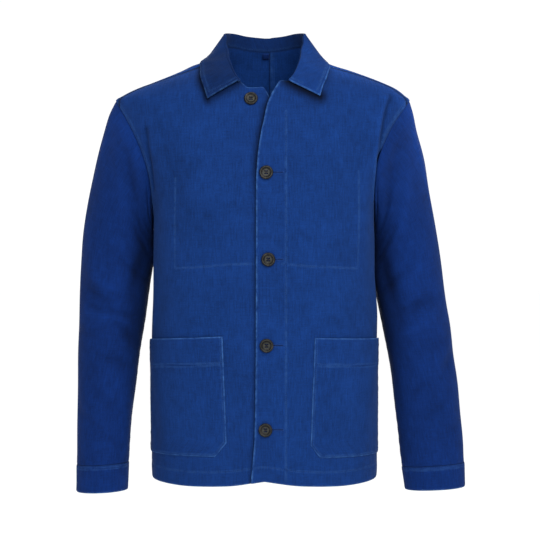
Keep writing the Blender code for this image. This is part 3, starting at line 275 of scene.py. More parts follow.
# Collar: stand and fall in one, by the neck seam's angle from centre front
CollarRow = namedtuple("CollarRow", "neck_angle stand lean edge_angle edge_z rise_right rise_left")
COLLAR = table(CollarRow, [
    (24, 0.0030, 0.0020, 42.9, -0.0885, 0.0000, 0.0060),
    (34, 0.0060, 0.0005, 46.0, -0.0748, 0.0000, 0.0054),
    (45, 0.0100, -0.0010, 51.8, -0.0571, 0.0000, 0.0036),
    (60, 0.0115, -0.0050, 63.0, -0.0364, 0.0008, 0.0015),
    (72, 0.0150, -0.0035, 75.0, -0.0235, 0.0030, 0.0000),
    (84, 0.0205, -0.0025, 87.5, -0.0172, 0.0018, 0.0000),
    (100, 0.0225, -0.0035, 100.5, -0.0160, 0.0000, 0.0000),
    (130, 0.0248, 0.0010, 131.0, -0.0185, 0.0000, 0.0000),
    (155, 0.0255, 0.0035, 156.0, -0.0210, 0.0000, 0.0000),
    (180, 0.0252, 0.0045, 180.0, -0.0220, 0.0000, 0.0000),
])
ROLL_RADIUS = 0.0022
COLLAR_SETTLE_TURNS = 4
SETTLE_REACH = 4.0  # how far from the form, in its own measure, a point may still settle

# Patch pockets
PocketCut = namedtuple(
    "PocketCut", "inner_top_x inner_bottom_x cut_x top_inner_z top_outer_z cut_top_z bottom_z"
)
POCKETS = {
    RIGHT: PocketCut(-0.0680, -0.0620, -0.0805, -0.4774, -0.4860, -0.6513, -0.6744),
    LEFT: PocketCut(0.0817, 0.0753, 0.0908, -0.4800, -0.4840, -0.6554, -0.6768),
}
POCKET_OUTER_ANGLE = 88.6
BAND_STANDS_OUT = 0.0005
MOUTH_STANDS_OFF = 0.0028
MOUTH_FADES_OVER = 0.070
MOUTH_ARCH_FROM = 0.12  # where on a half wave the mouth's inner and outer end lie
MOUTH_ARCH_TO = 0.92

# Inside chest pockets, sewn to the back of each front
Inside = namedtuple("Inside", "edge_x side_x top_z bottom_z")
INNER_POCKETS = {
    RIGHT: Inside(-0.056, -0.149, -0.215, -0.363),
    LEFT: Inside(0.030, 0.156, -0.206, -0.363),
}

# Buttons
ButtonPlace = namedtuple("ButtonPlace", "x z on_under_front")
BUTTONS = table(ButtonPlace, [
    (-0.0223, -0.0870, True),
    (0.0028, -0.2104, False),
    (0.0062, -0.3520, False),
    (0.0033, -0.4920, False),
    (0.0015, -0.6300, False),
])
BUTTON_RADIUS = 0.0114
BUTTON_OFF_CLOTH = 0.0009
HOLE_RADIUS = 0.0011
HOLE_OFFSET = 0.0021
HOLE_CUT_DEPTH = 0.010

TAB_THICKNESS = 0.0010  # of the small tab inside the back neck

# Smaller creases than the solids carry
BODY_CREASES = table(Fold, [
    (-9, -0.150, -30, -0.118, 0.010, -0.0012),
    (-26, -0.240, -40, -0.330, 0.013, -0.0009),
    (-48, -0.380, -44, -0.470, 0.015, 0.0009),
    (31, -0.130, 46, -0.165, 0.012, -0.0010),
    (13, -0.250, 22, -0.420, 0.016, -0.0009),
    (47, -0.250, 58, -0.420, 0.015, -0.0011),
    (70, -0.200, 58, -0.150, 0.010, -0.0018),
    (-70, -0.205, -58, -0.150, 0.010, -0.0018),
    (-66, -0.400, -78, -0.520, 0.013, -0.0014),
    (68, -0.390, 80, -0.500, 0.013, -0.0013),
    (-84, -0.300, -76, -0.460, 0.010, 0.0013),
    (84, -0.310, 77, -0.450, 0.010, 0.0014),
    (-35, -0.660, -37, -0.722, 0.009, 0.0011),
    (38, -0.665, 40, -0.722, 0.009, 0.0010),
    (-96, -0.300, -108, -0.420, 0.010, 0.0016),
    (97, -0.310, 110, -0.440, 0.011, 0.0015),
    (-104, -0.520, -112, -0.690, 0.014, -0.0018),
    (106, -0.540, 111, -0.700, 0.013, -0.0019),
    (-128, -0.500, -133, -0.700, 0.018, 0.0017),
    (131, -0.520, 136, -0.705, 0.017, 0.0018),
    (-160, -0.100, -150, -0.205, 0.016, -0.0014),
    (161, -0.105, 151, -0.200, 0.015, -0.0013),
    (-168, -0.300, -158, -0.385, 0.014, 0.0012),
    (170, -0.330, 157, -0.395, 0.013, -0.0013),
    (-171, -0.560, -168, -0.710, 0.013, 0.0013),
    (168, -0.590, 171, -0.712, 0.012, -0.0012),
])
BODY_SEED = 5
BODY_SWELL = 0.00016
BODY_SWELL_FROM = (0.05, 0.14)  # depths below the origin between which it begins
SLEEVE_SEED = 31
SLEEVE_SWELL = 0.00022
CREASES_START = (0.0, 0.08)  # shares of the sleeve over which its creases begin and end
CREASES_END = (0.95, 1.0)
SWELL_WAVES = 9
SWELL_SHARES = (0.4, 1.0)
SWELL_RISE = 70  # the steepest of the slow waves, in radians per metre
SLEEVE_CREASES = {
    RIGHT: table(SleeveFold, [
        (0.05, 120, 0.16, 150, 0.007, -0.0034),
        (0.18, 96, 0.25, 140, 0.007, 0.0025),
        (0.27, 108, 0.36, 152, 0.008, -0.0028),
        (0.415, 100, 0.46, 158, 0.008, -0.0025),
        (0.47, 44, 0.505, 110, 0.007, 0.0022),
        (0.555, 52, 0.585, 132, 0.007, -0.0033),
        (0.63, 20, 0.655, 70, 0.009, -0.0022),
        (0.70, 70, 0.745, 140, 0.009, -0.0023),
        (0.86, 30, 0.90, 82, 0.009, -0.0020),
        (0.915, 75, 0.955, 142, 0.008, -0.0019),
        (0.02, 24, 0.30, 22, 0.008, 0.0019),
        (0.09, -100, 0.20, -150, 0.008, -0.0037),
        (0.24, -88, 0.33, -146, 0.009, 0.0025),
        (0.46, -60, 0.49, -140, 0.008, -0.0028),
        (0.565, -40, 0.60, -112, 0.007, 0.0023),
        (0.72, -56, 0.77, -120, 0.010, -0.0025),
        (0.88, -50, 0.93, -116, 0.009, -0.0022),
    ]),
    LEFT: table(SleeveFold, [
        (0.05, 116, 0.15, 150, 0.007, -0.0034),
        (0.19, 92, 0.26, 138, 0.008, 0.0023),
        (0.29, 110, 0.37, 150, 0.008, -0.0025),
        (0.44, 96, 0.49, 150, 0.008, -0.0026),
        (0.535, 40, 0.555, 98, 0.008, -0.0022),
        (0.60, 66, 0.65, 138, 0.008, 0.0020),
        (0.66, 40, 0.70, 104, 0.009, -0.0022),
        (0.77, 74, 0.81, 130, 0.009, -0.0020),
        (0.90, 36, 0.935, 92, 0.009, -0.0019),
        (0.02, 26, 0.34, 22, 0.007, 0.0022),
        (0.10, -98, 0.21, -150, 0.008, -0.0036),
        (0.26, -84, 0.35, -142, 0.009, 0.0023),
        (0.47, -58, 0.505, -136, 0.008, -0.0028),
        (0.58, -36, 0.61, -110, 0.007, 0.0022),
        (0.74, -52, 0.79, -122, 0.010, -0.0023),
        (0.90, -46, 0.94, -114, 0.009, -0.0020),
    ]),
}

# Sewing, in metres from the edge that a row of stitches follows
NEAR_ROW = 0.0019
FAR_ROW = 0.0074
HEM_ROW = 0.0240
COLLAR_ROW = 0.0060
POCKET_ROW = 0.0032
BAND_ROWS = (0.0428, 0.0462)
CUFF_ROWS = (0.0020, 0.0060)
Corner = namedtuple("Corner", "x z")
INNER_POCKET_ROWS = {
    RIGHT: table(Corner, [
        (-0.1474, -0.2175), (-0.1474, -0.3660), (-0.1050, -0.3642), (-0.0520, -0.3595), (-0.0190, -0.3590)]),
    LEFT: table(Corner, [
        (0.1555, -0.2060), (0.1540, -0.3660), (0.1410, -0.3657), (0.0757, -0.3633), (0.0285, -0.3590)]),
}
PLACKET_LINE = table(Corner, [(0.0352, -0.1080), (0.0350, -0.4000), (0.0350, -0.7150)])
COLLAR_LIES_OFF = ((24, 45, 60, 75), (0.0036, 0.0032, 0.0020, 0.0012))  # by degrees from centre front
BUTTONHOLE_END_X = 0.0300
BUTTONHOLE_LENGTH = 0.0270
# Fields of each sheet: distance to a seam, to a row of stitches and to an edge, and depth, a share of the
# colour that carries painted light and shade
FIELDS = ("seam", "row", "edge", "depth")
FAR = 1.0
# How far each seam is sunk, and how much paler than the others its painted shade line is
SEAM_SUNK = {"side": 0.0006, "arm": 0.0003, "shoulder": 0.0013, "neck": 0.0006, "centre": 0.0006}
SEAM_PALE = {"side": 0.0, "arm": 0.0008, "shoulder": -0.0008, "neck": 0.0, "centre": 0.0}
TURNED_EDGE_PALE = 0.62
# Painted shadow on the button side beside the overlapping free edge: the depths below the origin above which
# it is full and below which it is least, its darkness and its reach
UNDER_EDGE_DEEP_Z = 0.19
UNDER_EDGE_SHALLOW_Z = 0.26
UNDER_EDGE_PAINTED_SHADOW = 0.74
UNDER_EDGE_REACH = 0.0085
# Painted light on the inner faces of the panels, as a share of their colour
INSIDE_PAINTED_LIGHT = 1.75
# How much painted light each sleeve gets at its cap and along its outer line, and painted shade along its
# inner line
SleevePaintedLightAndShade = namedtuple("SleevePaintedLightAndShade", "cap outer inner")
SLEEVE_PAINTED_LIGHT_AND_SHADE = {RIGHT: SleevePaintedLightAndShade(0.25, 0.15, 0.40), LEFT: SleevePaintedLightAndShade(0.10, 0.90, 0.34)}
# How much painted light a fold gets for each metre that it stands up, and painted shade for each metre that
# it sinks
SLEEVE_FOLD_PAINTED_LIGHT = 60.0
BODY_FOLD_PAINTED_LIGHT = 26.0
# The shade beside the collar: under its front end and its free edge, as depth and reach
COLLAR_SHADE = {RIGHT: {"end": (0.62, 0.0085), "free": (0.78, 0.0090)},
                LEFT: {"end": (0.95, 0.0135), "free": (0.32, 0.0070)}}
# The painted shadow line in front of the shoulder seam, under the edge of its felled allowance, set off from
# the seam at the neck and at the arm, and the painted light along the seam where the shoulders face the light
SHOULDER_FELL = (0.0020, 0.0080)
SHOULDER_PAINTED_SHADOW = (1.60, 0.0034)
SHOULDER_PAINTED_LIGHT = {RIGHT: (0.46, 0.0240), LEFT: (0.70, 0.0240)}
# Painted light and shade as shares of the colour: the least share that a front or back keeps, each leaf of
# the collar's fall, lit or shaded by how it turns to the light, and the shaded stand
LEAST_PAINTED_SHADE_SHARE = 0.06
COLLAR_LEAF_PAINTED_LIGHT = {RIGHT: 0.54, LEFT: 1.16}
STAND_PAINTED_SHADE = 0.60
# Long creases beside the arms; dark is the share of colour taken off as painted shade in the fold, and a
# negative dark paints light on a ridge
Crease = namedtuple("Crease", "depth width dark corners")
LONG_CREASES = {
    RIGHT: [
        Crease(0.0034, 0.0042, 0.36, table(Corner, [
            (-0.1975, -0.1360), (-0.1930, -0.1680), (-0.1880, -0.2020), (-0.1850, -0.2320)])),
    ],
    LEFT: [
        Crease(0.0030, 0.0040, 0.42, table(Corner, [
            (0.2112, -0.0778), (0.2011, -0.1081), (0.1944, -0.1418), (0.1885, -0.1839), (0.1873, -0.2512)])),
        Crease(-0.0012, 0.0045, -0.24, table(Corner, [
            (0.2032, -0.0800), (0.1936, -0.1081), (0.1869, -0.1418), (0.1812, -0.1839), (0.1800, -0.2512)])),
    ],
}


class Smooth:
    """A smooth curve through a table's column that never overshoots a row."""

    def __init__(self, at, values):
        order = np.argsort(at)
        self.at = np.array(at, float)[order]
        self.values = np.array(values, float)[order]
        grade = np.diff(self.values) / np.diff(self.at)
        self.slopes = np.concatenate([[grade[0]], np.zeros(len(grade) - 1), [grade[-1]]])
        for i in range(1, len(grade)):
            before, after = grade[i - 1], grade[i]
            if before * after > 0:
                self.slopes[i] = 2 * before * after / (before + after)

    def __call__(self, x):
        x = np.clip(x, self.at[0], self.at[-1])
        i = np.clip(np.searchsorted(self.at, x) - 1, 0, len(self.at) - 2)
        span = self.at[i + 1] - self.at[i]
        t = (x - self.at[i]) / span
        low, high = self.values[i], self.values[i + 1]
        rise_low, rise_high = self.slopes[i] * span, self.slopes[i + 1] * span
        return (
            low * (2 * t**3 - 3 * t**2 + 1)
            + rise_low * (t**3 - 2 * t**2 + t)
            + high * (3 * t**2 - 2 * t**3)
            + rise_high * (t**3 - t**2)
        )


def columns(table, key):
    """One smooth curve for each named column of a table, read by its key column."""
    names = [name for name in table[0]._fields if name != key]
    at = [getattr(row, key) for row in table]
    return {name: Smooth(at, [getattr(row, name) for row in table]) for name in names}


TORSO_AT = columns(TORSO, "z")
NECK_AT = columns(NECKLINE, "angle")["z"]
HEM_AT = columns(HEMLINE, "angle")["z"]
EDGE_AT = columns(FRONT_EDGES, "z")
COLLAR_AT = columns(COLLAR, "neck_angle")
SLEEVE_AT = {side: columns(rows, "share") for side, rows in SLEEVES.items()}


def ease(x, start, full):
    """0 before start, 1 past full, and smooth between them."""
    t = np.clip((x - start) / (full - start), 0, 1)
    return t * t * (3 - 2 * t)


def unit(v):
    return v / np.maximum(np.linalg.norm(v, axis=-1, keepdims=True), 1e-12)


def half_width(side, z):
    return TORSO_AT["left_half" if side == LEFT else "right_half"](z)


def torso(angle, z):
    """The bare form at an angle from centre front, positive toward the wearer's left."""
    angle, z = np.broadcast_arrays(np.asarray(angle, float), np.asarray(z, float))
    across = np.where(np.sin(angle) >= 0, half_width(LEFT, z), half_width(RIGHT, z))
    deep = np.where(np.cos(angle) >= 0, TORSO_AT["front_depth"](z), TORSO_AT["back_depth"](z))
    power = TORSO_AT["squareness"](z)
    reach = (np.abs(np.sin(angle) / across) ** power + np.abs(np.cos(angle) / deep) ** power) ** (-1 / power)
    return np.stack([reach * np.sin(angle), -reach * np.cos(angle), z], axis=-1)


def outward(angle, z):
    """The form's outward direction."""
    along = torso(angle + SMALL_TURN, z) - torso(angle - SMALL_TURN, z)
    up = torso(angle, z + SMALL_DROP) - torso(angle, z - SMALL_DROP)
    return unit(np.cross(along, up))


def to_segment(u, v, u_a, v_a, u_b, v_b):
    """Distance of points from a segment, all in metres."""
    du, dv = u_b - u_a, v_b - v_a
    t = np.clip(((u - u_a) * du + (v - v_a) * dv) / (du * du + dv * dv), 0, 1)
    return np.hypot(u - u_a - t * du, v - v_a - t * dv), t


def fold_height(fold, away, along):
    fade = FOLD_END_SHARE + (1 - FOLD_END_SHARE) * np.sin(math.pi * along)
    return fold.height * fade * np.exp(-((away / fold.width) ** 2))


def body_folds(angle, z):
    """Height of the body's soft folds over the form."""
    around = np.mod(angle + math.pi, 2 * math.pi) - math.pi
    total = np.zeros(np.broadcast(angle, z).shape)
    for fold in BODY_FOLDS + BODY_CREASES:
        u_a, u_b = math.radians(fold.angle_a) * BODY_RADIUS, math.radians(fold.angle_b) * BODY_RADIUS
        away, t = to_segment(around * BODY_RADIUS, z, u_a, fold.z_a, u_b, fold.z_b)
        total = total + fold_height(fold, away, t)
    return total + swell(around, z, BODY_SEED, BODY_SWELL) * ease(-z, *BODY_SWELL_FROM)


def body(angle, z, lift=0.0):
    """A point of the body's outer face, lifted off it by some distance."""
    angle, z = np.broadcast_arrays(np.asarray(angle, float), np.asarray(z, float))
    return torso(angle, z) + outward(angle, z) * np.expand_dims(body_folds(angle, z) + lift, -1)


def angle_at_x(x, z, front=True, side=LEFT):
    """The angle where the form has this x at this height, on its front or back."""
    half = np.where(np.asarray(x) >= 0, half_width(LEFT, z), half_width(RIGHT, z))
    deep = TORSO_AT["front_depth" if front else "back_depth"](z)
    power = TORSO_AT["squareness"](z)
    y = deep * np.clip(1 - np.clip(np.abs(x) / half, 0, 1) ** power, 0, 1) ** (1 / power)
    if front:
        return np.arctan2(x, y)
    angle = np.arctan2(x, -y)
    return angle - 2 * math.pi * (side == RIGHT) * (angle > 0)


def angle_at_seam(side, forward, z):
    """The angle on a side where the form is this far forward of its ridge."""
    power = TORSO_AT["squareness"](z)
    x = half_width(side, z) * (1 - (forward / TORSO_AT["front_depth"](z)) ** power) ** (1 / power)
    return side * np.arctan2(x, forward)


# Fine grids: the spacing of rows and columns, and the closer ones beside an edge
STEP = 0.0031
EDGE_FINE = (0.0, 0.0007, 0.0015, 0.0024)
EDGE_FINE_END = 0.0036
LEVELS = np.linspace(-0.752, 0.042, 300)


def spaced(length, fine_start=False, fine_end=False, step=STEP):
    """Shares of a length: even, and closer together near an end that is an edge of the cloth."""
    low, high = (EDGE_FINE_END if fine_start else 0.0), length - (EDGE_FINE_END if fine_end else 0.0)
    middle = np.linspace(low, high, max(int(round((high - low) / step)), 1) + 1)
    parts = [np.array(EDGE_FINE)] if fine_start else []
    parts.append(middle)
    if fine_end:
        parts.append(length - np.array(EDGE_FINE)[::-1])
    return np.concatenate(parts) / length


def chained(*pieces):
    """Shares of a whole edge from (share of the whole, shares within) pieces."""
    start, out = 0.0, [np.zeros(1)]
    for whole, within in pieces:
        out.append(start + whole * within[1:])
        start += whole
    return np.concatenate(out)


# Each stretch of a panel's edges by its rough length, and the share of the edge that it takes
LOWER = spaced(0.440, fine_start=True)
UPPER = spaced(0.245, fine_end=True)
ROWS = chained((0.5, LOWER), (0.5, UPPER))
FREE_TOP = spaced(0.046, fine_start=True)
FRONT_NECK = spaced(0.115)
BACK_NECK = spaced(0.145, fine_start=True)
SHOULDER = spaced(0.140, fine_end=True)
FRONT_COLS = chained((2 / 13, FREE_TOP), (5 / 13, FRONT_NECK), (6 / 13, SHOULDER))
BACK_COLS = chained((0.5, BACK_NECK), (0.5, SHOULDER))
RING = np.concatenate([UPPER / 2, 0.5 + (1 - UPPER[::-1])[1:] / 2])[:-1]


def run_of(points, axis=0):
    """How far each point lies along its path, or along its row or column of a grid."""
    steps = np.linalg.norm(np.diff(points, axis=axis), axis=-1)
    start = np.zeros_like(np.take(steps, [0], axis=axis))
    return np.concatenate([start, np.cumsum(steps, axis=axis)], axis=axis)


def picked(path, run, at):
    """The points of a path at these distances along it."""
    return np.stack([np.interp(at, run, column) for column in path.T], axis=-1)


def walk(path, shares):
    """A path of (angle, z) points walked again at these shares of its length along the body."""
    run = run_of(torso(path[:, 0], path[:, 1]))
    return picked(path, run, shares * run[-1])


def joined(*paths):
    """Paths that follow each other, with their shared points once."""
    return np.concatenate([paths[0]] + [path[1:] for path in paths[1:]])


def straight(start, end, shares):
    return np.asarray(start) * (1 - shares[:, None]) + np.asarray(end) * shares[:, None]


def free_top(side, free_corner, collar_end):
    """The open top of a front, from its free corner to the collar's end."""
    turn = NECK_STEPS[side]
    corners = np.array([free_corner, (float(angle_at_x(turn.x, turn.z)), turn.z), collar_end])
    return picked(corners, (0, 0.5, 1), FREE_TOP)


def armhole_path(side):
    """The armhole as (angle, z): from the underarm up the front, over the ridge and down the back."""
    share = (1 - np.cos(np.linspace(0, math.pi, FINE_STEPS))) / 2
    z = UNDERARM_Z + (SHOULDER_Z - UNDERARM_Z) * share
    low, high = half_width(side, UNDERARM_Z), half_width(side, SHOULDER_Z)
    x = low + (high - low) * share - ARMHOLE_BOW[side] * np.sin(math.pi * share)
    x = side * np.minimum(x, half_width(side, z))
    front = np.stack([angle_at_x(x, z), z], axis=1)
    back = np.stack([angle_at_x(x, z, False, side), z], axis=1)
    front_y = torso(front[:, 0], front[:, 1])[:, 1]
    top = len(z) - 1 - int(np.argmax(front_y[::-1] < -SEAM_FORWARD_AT_ARM))
    return front[: top + 1], joined(front[top:], back[::-1])


def neck_z(angle):
    return NECK_AT(np.abs(np.degrees(angle)))


def neck_path(side, start, end, shares):
    """The neck seam between two angles, given in degrees from centre front."""
    angle = side * np.radians(np.linspace(start, end, FINE_STEPS))
    return walk(np.stack([angle, neck_z(angle)], axis=1), shares)


def neck_point_angle():
    """Degrees from centre front where the shoulder seams meet the neck seam."""
    degrees = np.linspace(*NECK_POINT_BETWEEN, FINE_STEPS)
    angle = np.radians(degrees)
    y = torso(angle, neck_z(angle))[:, 1]
    return float(np.interp(-SEAM_FORWARD_AT_NECK, y, degrees))


NECK_POINT = neck_point_angle()


def shoulder_path(side, arm_end):
    """The shoulder seam from the neck seam to the armhole."""
    neck_height = float(neck_z(math.radians(NECK_POINT)))
    z = np.linspace(neck_height, arm_end[1], FINE_STEPS)
    share = (neck_height - z) / (neck_height - arm_end[1])
    forward = SEAM_FORWARD_AT_NECK + (SEAM_FORWARD_AT_ARM - SEAM_FORWARD_AT_NECK) * share
    path = np.stack([angle_at_seam(side, forward, z), z], axis=1)
    path[0] = side * math.radians(NECK_POINT), neck_height
    path[-1] = arm_end
    return walk(path, SHOULDER)


def front_edge_x(side, z):
    return EDGE_AT["top_x" if side == LEFT else "under_x"](z)


def climb(hem_z, top_z, crowd):
    """Heights up a panel's centre: even below the underarm, closer together above it."""
    lower = hem_z + (UNDERARM_Z - hem_z) * LOWER
    upper = UNDERARM_Z + (top_z - UNDERARM_Z) * (1 - (1 - UPPER) ** crowd)
    return np.concatenate([lower, upper[1:]])


def centre_front_path(side):
    """A front's free edge from the hem to its top corner."""
    hem_angle = angle_at_x(front_edge_x(side, HEM_CENTRE_Z), HEM_CENTRE_Z)
    hem_z = float(HEM_AT(abs(math.degrees(hem_angle))))
    z = climb(hem_z, TOP_CORNER_Z[side], FRONT_ROWS_CROWD)
    return np.stack([angle_at_x(front_edge_x(side, z), z), z], axis=1)


def centre_back_path(side):
    """The centre back seam from the hem to the neck."""
    z = climb(float(HEM_AT(180)), float(NECK_AT(CENTRE_BACK_ANGLE)), BACK_ROWS_CROWD)
    return np.stack([angle_at_x(CENTRE_BACK_X, z, False, side), z], axis=1)


def hem_path(start, end, shares):
    angle = np.linspace(start, end, FINE_STEPS)
    return walk(np.stack([angle, HEM_AT(np.abs(np.degrees(angle)))], axis=1), shares)


def side_path(side):
    """The side seam from the hem to the underarm."""
    return straight((side * math.pi / 2, float(HEM_AT(90))), (side * math.pi / 2, UNDERARM_Z), LOWER)


class RunTable:
    """Runs of cloth round every level of one side's front or back, from its centre line."""

    def __init__(self, side, is_front):
        self.sweep = FRONT_SWEEP if is_front else BACK_SWEEP
        self.side = side
        self.turns = side * np.radians(np.linspace(*self.sweep, SWEEP_STEPS))
        self.run = run_of(torso(self.turns[None], LEVELS[:, None]), axis=1)
        centre = self.read(np.full(len(LEVELS), 0.0 if is_front else side * math.pi), LEVELS)
        self.run = self.run - centre[:, None]

    def level(self, z):
        at = np.clip((z - LEVELS[0]) / (LEVELS[1] - LEVELS[0]), 0, len(LEVELS) - PAST_LAST)
        low = at.astype(int)
        return low, at - low

    def read(self, angle, z):
        low, share = self.level(z)
        start, end = self.sweep
        at = (self.side * np.degrees(angle) - start) / (end - start) * (SWEEP_STEPS - 1)
        at = np.clip(at, 0, SWEEP_STEPS - PAST_LAST)
        col = at.astype(int)
        t = at - col
        row_low = self.run[low, col] * (1 - t) + self.run[low, col + 1] * t
        row_high = self.run[low + 1, col] * (1 - t) + self.run[low + 1, col + 1] * t
        return row_low * (1 - share) + row_high * share

    def angle(self, run, z):
        low, share = self.level(z)
        rows = self.run[low] * (1 - share[:, None]) + self.run[low + 1] * share[:, None]
        col = np.clip((rows < run[:, None]).sum(axis=1) - 1, 0, SWEEP_STEPS - 2)
        pick = np.arange(len(run))
        t = (run - rows[pick, col]) / (rows[pick, col + 1] - rows[pick, col])
        return self.turns[col] * (1 - t) + self.turns[col + 1] * t


def patch(side, is_front, bottom, right, top, left, across):
    """A grid of (angle, z) inside four edges, spread evenly over the flat cut of the cloth."""
    table = RunTable(side, is_front)
    flat = [np.stack([table.read(edge[:, 0], edge[:, 1]), edge[:, 1]], axis=1)
            for edge in (bottom, right, top, left)]
    grid = coons(*flat, across, ROWS, SIDE_HOLD, TOP_HOLD)
    angle = table.angle(grid[..., 0].ravel(), grid[..., 1].ravel()).reshape(grid.shape[:2])
    out = np.stack([angle, grid[..., 1]], axis=-1)
    out[0], out[-1], out[:, 0], out[:, -1] = bottom, top, left, right
    return out, grid


def coons(bottom, right, top, left, across, upward, side_hold=(1, 1), top_hold=(1, 1)):
    """A grid inside four edges; bottom and top run to the right, left and right upward."""
    u, v = across[None, :, None], upward[:, None, None]
    low = bottom[0] * (1 - u) + bottom[-1] * u
    high = top[0] * (1 - u) + top[-1] * u
    grid = low * (1 - v) + high * v
    from_left, from_right = left[:, None] - grid[:, :1], right[:, None] - grid[:, -1:]
    from_bottom, from_top = bottom[None] - grid[:1], top[None] - grid[-1:]
    grid = grid + from_left * (1 - u) ** np.array(side_hold) + from_right * u ** np.array(side_hold)
    return grid + from_bottom * (1 - v) ** np.array(top_hold) + from_top * v ** np.array(top_hold)


def underlap(points_x):
    """How far the button side is tucked in behind the buttonhole side."""
    return -UNDERLAP_DEPTH * ease(points_x, UNDERLAP_FROM_X, UNDERLAP_FULL_X)


def flare(points_x, z):
    """How far the open top of the buttonhole side turns forward."""
    inside = np.clip((points_x - EDGE_AT["top_x"](z)) / FLARE_WIDTH, 0, 1)
    return FLARE * (1 - inside) ** 2 * ease(z, FLARE_FROM_Z, FLARE_FULL_Z)


def front_lift(side, angle, z):
    x = torso(angle, z)[..., 0]
    return flare(x, z) if side == LEFT else underlap(x)


def front_point(side, angle, z, lift=0.0):
    """A point of one front's outer face, with its own tuck or flare."""
    return body(angle, z, lift + front_lift(side, angle, z))


def face_normals(grid):
    """Directions square to a grid of points."""
    return unit(np.cross(np.gradient(grid, axis=1), np.gradient(grid, axis=0)))


def armhole(side):
    """The armhole's ring, as (angle, z) and as points."""
    front_path, back_path = armhole_path(side)
    ring = joined(walk(front_path, UPPER), walk(back_path, 1 - UPPER[::-1]))[:-1]
    return {"ring": ring, "points": body(ring[:, 0], ring[:, 1])}


def oval_depth(half, girth):
    """Half the depth of an oval of this half width and girth."""
    depth = np.maximum(girth / math.pi - half, LEAST_OVAL * half)
    for _ in range(OVAL_TURNS):
        h = ((half - depth) / (half + depth)) ** 2
        depth = girth / (math.pi * (1 + 3 * h / (10 + np.sqrt(4 - 3 * h)))) - half
    return depth


def sleeve_frame(side, row):
    """Centre, half axis toward the outer line, and half depth of one ring of the sleeve."""
    outer = np.array([side * row["outer_x"], 0, row["outer_z"]])
    inner = np.array([side * row["inner_x"], 0, row["inner_z"]])
    centre = (outer + inner) / 2 + np.array([0, row["centre_y"], 0])
    axis = (outer - inner) / 2
    return centre, axis, oval_depth(np.linalg.norm(axis), row["girth"])


def sleeve_ring(side, share, hole):
    """One ring of the sleeve's outer face, its shape going from the armhole's to an oval."""
    start = sleeve_frame(side, {name: curve(0.0) for name, curve in SLEEVE_AT[side].items()})
    now = sleeve_frame(side, {name: curve(share) for name, curve in SLEEVE_AT[side].items()})
    centre, axis, depth = start
    off_axis = unit(np.cross(axis, (0, 1, 0)))
    along = (hole - centre) @ axis / (axis @ axis)
    forward = -(hole - centre)[:, 1] / depth
    off = (hole - centre) @ off_axis
    turn = np.unwrap(np.arctan2(forward, along))
    even_turn = turn[0] + 2 * math.pi * np.sign(turn[-1] - turn[0]) * RING
    oval = ease(share, 0.0, ROUND_BY)
    turn = turn * (1 - oval) + even_turn * oval
    along = along * (1 - oval) + np.cos(turn) * oval
    forward = forward * (1 - oval) + np.sin(turn) * oval
    off = off * (1 - oval)
    centre, axis, depth = now
    off_axis = unit(np.cross(axis, (0, 1, 0)))
    ring = centre + along[:, None] * axis + off[:, None] * off_axis
    ring[:, 1] -= forward * depth
    folds = sleeve_folds(side, share, turn) + sleeve_creases(side, share, turn)
    return ring + unit(ring - centre) * folds[:, None], turn


def sleeve_folds(side, share, turn, table=SLEEVE_FOLDS):
    """Height of the sleeve's soft folds, in a flat map of its length and girth."""
    around = np.mod(turn + math.pi, 2 * math.pi) - math.pi
    total = np.zeros(len(turn))
    for fold in table[side]:
        ends = [fold.share_a * SLEEVE_LENGTH, math.radians(fold.turn_a) * SLEEVE_RADIUS]
        ends += [fold.share_b * SLEEVE_LENGTH, math.radians(fold.turn_b) * SLEEVE_RADIUS]
        away, t = to_segment(share * SLEEVE_LENGTH, around * SLEEVE_RADIUS, *ends)
        total = total + fold_height(fold, away, t)
    return total


def sleeve_creases(side, share, turn):
    """The sleeve's smaller creases and its slow unevenness, gone at the armhole and the cuff."""
    inside = ease(share, *CREASES_START) * (1 - ease(share, *CREASES_END))
    slow = swell(turn, share * SLEEVE_LENGTH, SLEEVE_SEED + side, SLEEVE_SWELL)
    return sleeve_folds(side, share, turn, SLEEVE_CREASES) * inside + inside * slow


def swell(angle, z, seed, height):
    """A slow unevenness of the cloth, the same on every run."""
    draw = np.random.default_rng(seed)
    total = 0.0
    for _ in range(SWELL_WAVES):
        turns = int(draw.integers(1, 9))
        rise = draw.uniform(-SWELL_RISE, SWELL_RISE)
        phase = draw.uniform(0, 2 * math.pi)
        total = total + np.sin(turns * angle + rise * z + phase) * draw.uniform(*SWELL_SHARES)
    return total * height


def settle(points, clearance):
    """Moves points out until they clear the torso form."""
    for _ in range(COLLAR_SETTLE_TURNS):
        x, y, z = points[..., 0], points[..., 1], points[..., 2]
        side = np.where(x >= 0, half_width(LEFT, z), half_width(RIGHT, z))
        deep = np.where(y <= 0, TORSO_AT["front_depth"](z), TORSO_AT["back_depth"](z))
        power = TORSO_AT["squareness"](z)
        value = (np.abs(x) / side) ** power + (np.abs(y) / deep) ** power
        angle = np.arctan2(x, -y)
        normal = outward(angle, z)
        away = np.sum((points - torso(angle, z)) * normal, axis=-1)
        short = np.where(value < SETTLE_REACH, np.maximum(clearance + flare(x, z) - away, 0), 0)
        points = points + normal * short[..., None]
    return points


# ---------------------------------------------------------------- cloth as thin sheets


AT_ONCE = 4000  # points measured at once, to save memory
# Ripples beside a seam: how many waves, their lengths, their level, and where they begin
RIPPLE_WAVES = 5
RIPPLE_LENGTHS = (0.009, 0.026)
RIPPLE_PHASES = (0, 6.3)
RIPPLE_LEVEL = 2.2
RIPPLE_FROM = (0.0005, 0.003)
ROUND_AGAIN = 1.01  # a tube's girth over its last column, which is one step short of it
EDGE_ROUND = 0.42  # how far an edge's middle stands out, as a share of the cloth's thickness


